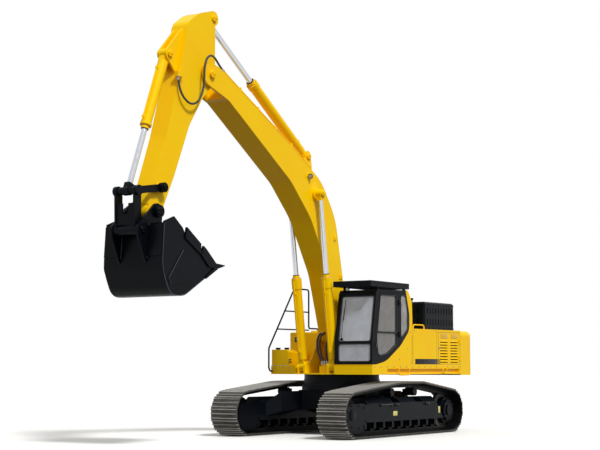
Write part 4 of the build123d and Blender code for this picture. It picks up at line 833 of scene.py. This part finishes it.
def make_rear_trim():
    """Lifting eyes and ballast bolts of the counterweight, and what stands on the hood."""
    eyes = bmesh.new()
    rear, front = EYE_XS
    for y in (-820, 820):
        for x in EYE_XS:
            add_turned(eyes, (x, y, COUNTERWEIGHT_TOP), (0, 0, 1), ((-2, 44), (14, 44), (20, 34)), 20)
        bow = [(rear, y, 2360), (rear, y, 2440), (front, y, 2440), (front, y, 2360)]
        add_tube(eyes, round_off(bow, 60, steps=8), 20, 14)
    make_piece("lifting_eyes", eyes, "upper", "yellow_paint")

    ballast = bmesh.new()
    add_tube(ballast, [(-2949, side * 1280, 1310) for side in SIDES], 5, 8)
    for x, y in BALLAST_BOLTS:
        add_turned(ballast, (x, y, 1620), (-1, 0, 0), ((-40, 74), (16, 74), (22, 66)), 24)
        add_turned(ballast, (x - 20, y, 1620), (-1, 0, 0), ((-2, 40), (8, 40), (10, 22)), 6)
    make_piece("ballast_bolts", ballast, "upper", "black_paint")

    stacks = bmesh.new()
    for x, y, profile in STACKS:
        add_turned(stacks, (x, y, HOOD_TOP), (0, 0, 1), profile, 28)
    make_piece("exhaust_and_intake", stacks, "hood", "black_paint")

    bolts = bmesh.new()
    for side in SIDES:
        for x in HOOD_BOLT_XS:
            for z in HOOD_BOLT_ZS:
                add_bolt(bolts, (x, side * HOOD_SIDE, z), (0, side, 0), 17)
    add_turned(bolts, (-1660, HOOD_SIDE, 2895), (0, 1, 0), ((-2, 20), (4, 20), (6, 12)), 18)
    make_piece("hood_bolts", bolts, "hood", "black_paint")


make_rear_trim()

# Front of the deck, and fittings on the boom
BOX_FRONT = 649
BOX_BOLTS = (*[(y, z, 18) for y in (-1380, -1180, -1010) for z in (1423, 1480)],
             *[(-1440, z, 14) for z in (1460, 1560, 1640)])
CLIP_LOWS = (1596, 1650)
LAMP_STAY = ((1780, 5560), (1850, 5620), (1820, 5700), (1740, 5700), (1700, 5600))
FRONT_PIPE = (
    (752, 48, 2946), (690, 42, 2700), (655, 40, 2477), (648, 40, 2300), (648, -130, 2262), (648, -142, 2200),
)
PIPE_CLAMPS = ((672, 41, 2590), (650, 41, 2390))
STUB_OUTLINE = ((-70, -35), (-20, -50), (30, -50), (30, 50), (-20, 50), (-70, 35))
STUB_PLACES = ((742, 4350), (505, 3500))
STUB_NEAR, STUB_FAR = 262, 300


def make_front_trim():
    """Tank, storage box and boom fittings seen from the front."""
    latch = bmesh.new()
    add_block(latch, (-2, -1275, 2060), (14, -1153, 2182), 8)
    add_block(latch, (12, -1240, 2090), (24, -1190, 2150), 5)
    make_piece("tank_latch", latch, "upper", "dark_plastic")

    box = bmesh.new()
    add_block(box, (646, -1470, 1522), (652, -1000, 1528))
    for y, z, across in BOX_BOLTS:
        add_bolt(box, (BOX_FRONT, y, z), (1, 0, 0), across)
    make_piece("box_seam_and_bolts", box, "upper", "yellow_paint", ZINC)

    clips = bmesh.new()
    for low in CLIP_LOWS:
        add_block(clips, (646, -1000, low), (662, -930, low + 18), 4)
        add_block(clips, (646, -972, low - 22), (656, -958, low + 22), 2)
    make_piece("box_clips", clips, "upper", "dark_plastic")

    stay = bmesh.new()
    add_plate(stay, LAMP_STAY, 272, 296)
    add_block(stay, (1775, 290, 5585), (1815, 330, 5625), 4)
    make_piece("boom_lamp_bracket", stay, "boom_body", "yellow_paint")

    pipe = bmesh.new()
    add_tube(pipe, round_off(FRONT_PIPE, 60), 13, 14)
    for x, y, z in PIPE_CLAMPS:
        add_block(pipe, (x - 40, y - 24, z - 14), (x + 18, y + 24, z + 14), 4)
    make_piece("boom_front_pipe", pipe, "boom_body", "yellow_paint")

    stubs = bmesh.new()
    for x, z in STUB_PLACES:
        add_plate(stubs, [(x + dx, z + dz) for dx, dz in STUB_OUTLINE], STUB_NEAR, STUB_FAR)
        add_bolt(stubs, (x - 30, STUB_FAR - 1, z), (0, 1, 0), 26)
    make_piece("boom_stub_brackets", stubs, "boom_body", "yellow_paint")


make_front_trim()

FERRULE_PROFILE = (
    (-70, 24), (-68, 27.5), (-48, 27.5), (-46, 26), (-30, 26), (-28, 27.5), (-8, 27.5), (-6, 24),
)
NUT_PROFILE = ((-8, 33), (14, 33), (17, 29))


def make_hose_ends(name, route, *ends):
    """Crimped ferrule and hexagon nut at each end of a hose."""
    for index, ((body, _, out), place) in enumerate(zip(ends, (route[0], route[-1]))):
        bm = bmesh.new()
        add_turned(bm, place, out, FERRULE_PROFILE, 24)
        add_turned(bm, place, out, NUT_PROFILE, 6)
        make_piece(f"{name}_fittings_{index + 1}", bm, body, "black_paint", ZINC)


for name, hose in HOSES.items():
    make_hose_ends(name, *hose)

# Undercarriage: bolts, blank reflectors, steps and mud plates on both track frames
GAUGE_HALF = 1370
WHEEL_Z = 500
COVER_BOLTS = (
    (1700, 260), (1700, 640), (1900, 230), (1900, 690), (2180, 250), (2200, 690), (2330, 400), (2330, 560),
)
IDLER_X = 2150
SPROCKET_X = -2125
HUB_BOLTS = 12
HUB_BOLT_RADIUS = 195
ROLLERS = 9
ROLLER_PITCH = 366
ROLLER_SHIFT = 20
REFLECTORS = (((287, 443), (466, 539)), ((-1683, 449), (-1603, 597)))
STEPS = ((520, 1010), (-1140, -980), (250, 390))
# The posts of the left side's steps stop short of the tread's edge
POST_REACH = {1: 28, -1: 34}


def make_track_frame_trim():
    bolts, blanks, steps = bmesh.new(), bmesh.new(), bmesh.new()
    for side in SIDES:
        axis = (0, side, 0)
        middle = side * GAUGE_HALF
        outer = middle + side * 230
        cover = middle + side * 235
        for x, z in COVER_BOLTS:
            add_bolt(bolts, (x, cover, z), axis, 34)
        add_turned(bolts, (IDLER_X, cover, WHEEL_Z), axis, ((-4, 120), (12, 120), (20, 104)), 28)
        for index in range(HUB_BOLTS):
            x, z = (HUB_BOLT_RADIUS * share for share in on_circle(index, HUB_BOLTS))
            add_bolt(bolts, (SPROCKET_X + x, middle + side * 215, WHEEL_Z + z), axis, 30)
        for index in range(ROLLERS):
            x = (index - ROLLERS // 2) * ROLLER_PITCH + ROLLER_SHIFT
            for shift in (-42, 42):
                add_bolt(bolts, (x + shift, middle + side * 192, 352), axis, 24)
        for low, high in REFLECTORS:
            add_side_block(blanks, side, outer, low, high, -4, 3, 2)
        for rear, front in STEPS:
            add_side_block(steps, side, outer, (rear, 676), (front, 700), -10, 34, 5)
            for x in (rear + 12, front - 26):
                add_side_block(steps, side, outer, (x, 640), (x + 14, 684), -10, POST_REACH[side], 3)
    make_piece("track_frame_bolts", bolts, "undercarriage", "frame_paint")
    make_piece("blank_reflectors", blanks, "undercarriage", "frame_paint", BLANK_PALE)
    make_piece("frame_steps", steps, "undercarriage", "frame_paint", TREAD)


make_track_frame_trim()

# A mud plate's section as distance outwards and height, and where the plates run
ROOF_SECTION = ((225, 712), (225, 722), (110, 835), (-110, 835), (-225, 722), (-225, 712))
ROOF_RUNS = ((-1480, -860), (-580, 160), (440, 1560))


def make_frame_roofs():
    """Sloping mud plates on the track frames, between the idler's cover and the sprocket."""
    bm = bmesh.new()
    for side in SIDES:
        section = [(side * (GAUGE_HALF + out), z) for out, z in ROOF_SECTION]
        for rear, front in ROOF_RUNS:
            add_plate(bm, section, rear, front, along_x=True)
    make_piece("frame_mud_roofs", bm, "undercarriage", "frame_paint")


make_frame_roofs()

# Belt that the chain's pins follow, as the model has it: each wheel's x, z and radius, then the shoes' pitch
BELT_WHEELS = ((2150, 500, 420), (300, 945, 155), (-720, 945, 155), (-2125, 500, 420))
SHOE_PITCH = 216
SHOE_OUTSIDE = 48
SHOE_HALF = 350
SHOE_BOLT_SHARES = (-0.24, 0.24)
SHOE_BOLT_OFFSETS = (-82, 82)
GROUSER_TIP = 80
GROUSER_SHARES = (-0.44, 0.0, 0.44)


def belt_places():
    """Middle of each shoe, and the directions along it and outwards."""
    wheels = [(Vector((x, z)), radius) for x, z, radius in BELT_WHEELS]
    following = wheels[1:] + wheels[:1]
    angles = []
    for (here, r0), (there, r1) in zip(wheels, following):
        run = there - here
        angles.append(math.atan2(run.y, run.x) - math.acos((r0 - r1) / run.length))

    def on_wheel(middle, radius, angle):
        return middle + Vector((radius * math.cos(angle), radius * math.sin(angle)))

    # The belt's arcs and straight runs in turn: each one's length, and its point at a share of that length
    spans = []
    for wheel, start, end, beyond in zip(wheels, angles[-1:] + angles, angles, following):
        turn = (end - start) % (2 * math.pi)
        spans.append((wheel[1] * turn, lambda share, w=wheel, s=start, t=turn: on_wheel(*w, s + t * share)))
        leaves, meets = on_wheel(*wheel, end), on_wheel(*beyond, end)
        spans.append(((meets - leaves).length, lambda share, a=leaves, b=meets: a.lerp(b, share)))
    total = sum(length for length, _ in spans)
    shoes = round(total / SHOE_PITCH)

    def point(distance):
        for length, place in spans:
            if distance <= length:
                return place(distance / length)
            distance -= length

    pins = [point((index + 0.5) * total / shoes) for index in range(shoes)]
    for here, there in zip(pins, pins[1:] + pins[:1]):
        along = (there - here).normalized()
        yield (here + there) / 2, along, Vector((along.y, -along.x))


def add_shoe_bolts(bm, side, middle, along, out):
    for share in SHOE_BOLT_SHARES:
        for across in SHOE_BOLT_OFFSETS:
            place = middle + along * share * SHOE_PITCH + out * SHOE_OUTSIDE
            spot = (place.x, side * GAUGE_HALF + across, place.y)
            add_turned(bm, spot, (out.x, 0, out.y), ((-2, 16), (12, 16), (15, 13)), 6)


def add_grouser_edges(bm, side, middle, along, out):
    """Each grouser's tip, ground flat by the ground it has crossed; its bright colour is partly worn steel and
    partly a painted highlight.
    """
    for share in GROUSER_SHARES:
        tip = middle + along * share * SHOE_PITCH + out * GROUSER_TIP
        foot = tip - out * 20
        outline = [tuple(p) for p in (foot - along * 11, tip - along * 4, tip + along * 4, foot + along * 11)]
        add_plate(bm, outline, side * GAUGE_HALF - SHOE_HALF, side * GAUGE_HALF + SHOE_HALF)


for kind, add_to, material in (
    ("shoe_bolts", add_shoe_bolts, None), ("grouser_edges", add_grouser_edges, WORN_AND_HIGHLIGHT_STEEL),
):
    for side, hand in ((1, "left"), (-1, "right")):
        bm = bmesh.new()
        for place in belt_places():
            add_to(bm, side, *place)
        make_piece(f"{kind}_{hand}", bm, "undercarriage", "track_steel", material)

# Bucket: weld beads where its plates meet and round its wear plates, rubbed pale; each line in x and z
SIDE_SEAM = ((5700, 3345), (6640, 2806), (7050, 2806), (7284, 3300), (7236, 4110))
LUG_SEAM = ((6900, 4085), (7236, 4128), (7286, 3480))
HEEL_SEAM = ((6688, 3650), (7085, 3140), (7112, 3118), (7036, 2992))
CHEEK_SEAM = ((6480, 3450), (6800, 3130))


def make_bucket_welds():
    bm = bmesh.new()

    def add_bead(seam, y, radius=7):
        add_tube(bm, on_plane(seam, y), radius, 8)

    for side in SIDES:
        add_tube(bm, round_off(on_plane(SIDE_SEAM, side * 702), 200, steps=8), 7, 8)
        for y in (side * 291, side * 341):
            add_bead(LUG_SEAM, y, 8)
        add_bead(HEEL_SEAM, side * 712)
        add_bead(CHEEK_SEAM, side * 704)
    make_piece("bucket_welds", bm, "bucket_body", "black_paint", RUBBED_ENAMEL)


make_bucket_welds()

# Operator's seat: each pad's low and high corner, edge, lean, fill and place
SEAT_X = 120
SEAT_Y = 1015
FLOOR_TOP = 1585
CUSHIONS = {
    "seat_cushion": ((-255, -215, 268), (255, 215, 382), 34, 0.0, 0.7, (SEAT_X, SEAT_Y, FLOOR_TOP)),
    "seat_back": (
        (-48, -205, -330), (52, 205, 330), 34, -0.145, 0.65, (SEAT_X - 250, SEAT_Y, FLOOR_TOP + 720)
    ),
}
FOAM_VOXEL = 0.014
PAD_PRESSURE = 4
CLOTH_FRAMES = 12
SWELL_LIMIT = 0.012


def make_cushion(name, low, high, edge, lean, fill, place):
    """Block of foam, remeshed and blown up a little as cloth so that its sides pull in between the seams."""
    bm = bmesh.new()
    add_block(bm, low, high, edge)
    bmesh.ops.subdivide_edges(bm, edges=bm.edges[:], cuts=2, use_grid_fill=True)
    data = bpy.data.meshes.new(name)
    bm.to_mesh(data)
    bm.free()
    piece = add_object(name, data)
    remesh = piece.modifiers.new("remesh", "REMESH")
    remesh.mode = "VOXEL"
    remesh.voxel_size = FOAM_VOXEL
    settings = piece.modifiers.new("cloth", "CLOTH").settings
    settings.use_pressure = True
    settings.uniform_pressure_force = PAD_PRESSURE
    settings.effector_weights.gravity = 0
    for step in range(1, CLOTH_FRAMES + 1):
        bpy.context.scene.frame_set(step)
    graph = bpy.context.evaluated_depsgraph_get()
    made = bpy.data.meshes.new_from_object(piece.evaluated_get(graph))
    piece.modifiers.clear()
    piece.data = made
    turn = Matrix.Rotation(lean, 4, "Y")
    for vertex in made.vertices:
        bounds = zip(vertex.co, low, high)
        held = [min(max(c, a / 1000 - SWELL_LIMIT), b / 1000 + SWELL_LIMIT) for c, a, b in bounds]
        vertex.co = turn @ Vector(held) + metres(place)
    made.materials.append(CLOTH)
    for face in made.polygons:
        face.use_smooth = True
    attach(piece, "upper")


def make_seat_base():
    """Suspension under the cushion, and the piping on top of it."""
    base = bmesh.new()

    def add_layer(reach, width, low, high, edge):
        corners = [(SEAT_X + s * reach, SEAT_Y + s * width, FLOOR_TOP + z) for s, z in ((-1, low), (1, high))]
        add_block(base, *corners, edge)

    add_layer(150, 150, 0, 60, 8)
    for index in range(5):
        low = 66 + index * 34
        add_layer(135, 140, low, low + 26, 12)
    add_layer(200, 190, 236, 268, 8)
    suspension = make_piece("seat_suspension", base, "upper", "dark_plastic")
    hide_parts("operator_seat")
    piping = bmesh.new()
    for x in (-150, 130):
        add_tube(piping, [(SEAT_X + x, SEAT_Y + y, FLOOR_TOP + 386) for y in (-190, -60, 60, 190)], 4, 8)
    make_piece("seat_piping", piping, "upper", "seat_fabric")


for name, cushion in CUSHIONS.items():
    make_cushion(name, *cushion)
make_seat_base()

# Studio: pale floor, white surroundings, one broad key lamp and the surroundings' fill
FILL_STRENGTH = 0.55
SEEN_STRENGTH = 1.0
KEY_STRENGTH = 2.6
KEY_WIDTH = math.radians(10)
KEY_YAW = math.radians(66)
KEY_RISE = math.radians(50)
FLOOR_SIZE = 400
FLOOR_DROP = 0.001


def make_surroundings():
    """White to the camera, through glass and in reflections; plain fill light to everything else."""
    world = bpy.data.worlds.new("studio")
    bpy.context.scene.world = world
    world.use_nodes = True
    tree = world.node_tree
    tree.nodes.clear()
    path = add_node(tree, "LightPath", {}).outputs
    white = path["Is Camera Ray"]
    for ray in ("Is Transmission Ray", "Is Glossy Ray"):
        white = add_node(tree, "Math", {"operation": "MAXIMUM", 0: white, 1: path[ray]}).outputs[0]
    fill, seen = (
        add_node(tree, "Background", {"Color": "FFFFFF", "Strength": strength}).outputs[0]
        for strength in (FILL_STRENGTH, SEEN_STRENGTH)
    )
    mix = add_node(tree, "MixShader", {0: white, 1: fill, 2: seen})
    add_node(tree, "OutputWorld", {"Surface": mix.outputs[0]})


def make_key_lamp():
    sun = bpy.data.lights.new("key", "SUN")
    sun.energy = KEY_STRENGTH
    sun.angle = KEY_WIDTH
    lamp = add_object("key", sun)
    lamp.rotation_euler = (-from_angles(KEY_YAW, KEY_RISE)).to_track_quat("-Z", "Y").to_euler()


def floor_paint(tree):
    """Matt floor paint: pale to the eye, but it throws back a duller, warmer light, so undersides stay dark."""
    bounced = add_node(tree, "LightPath", {}).outputs["Is Diffuse Ray"]
    mix = add_node(tree, "Mix", {"data_type": "RGBA", 0: bounced, 6: "F6F6F4", 7: "5E564C"})
    return {"Roughness": 0.9, "Base Color": mix.outputs[2]}


def make_floor():
    bpy.ops.mesh.primitive_plane_add(size=FLOOR_SIZE, location=(0, 0, -FLOOR_DROP))
    floor = bpy.context.object
    floor.name = "floor"
    floor.data.materials.append(make_material("floor_paint", floor_paint))


make_surroundings()
make_key_lamp()
make_floor()
bpy.context.scene.view_settings.view_transform = "Standard"
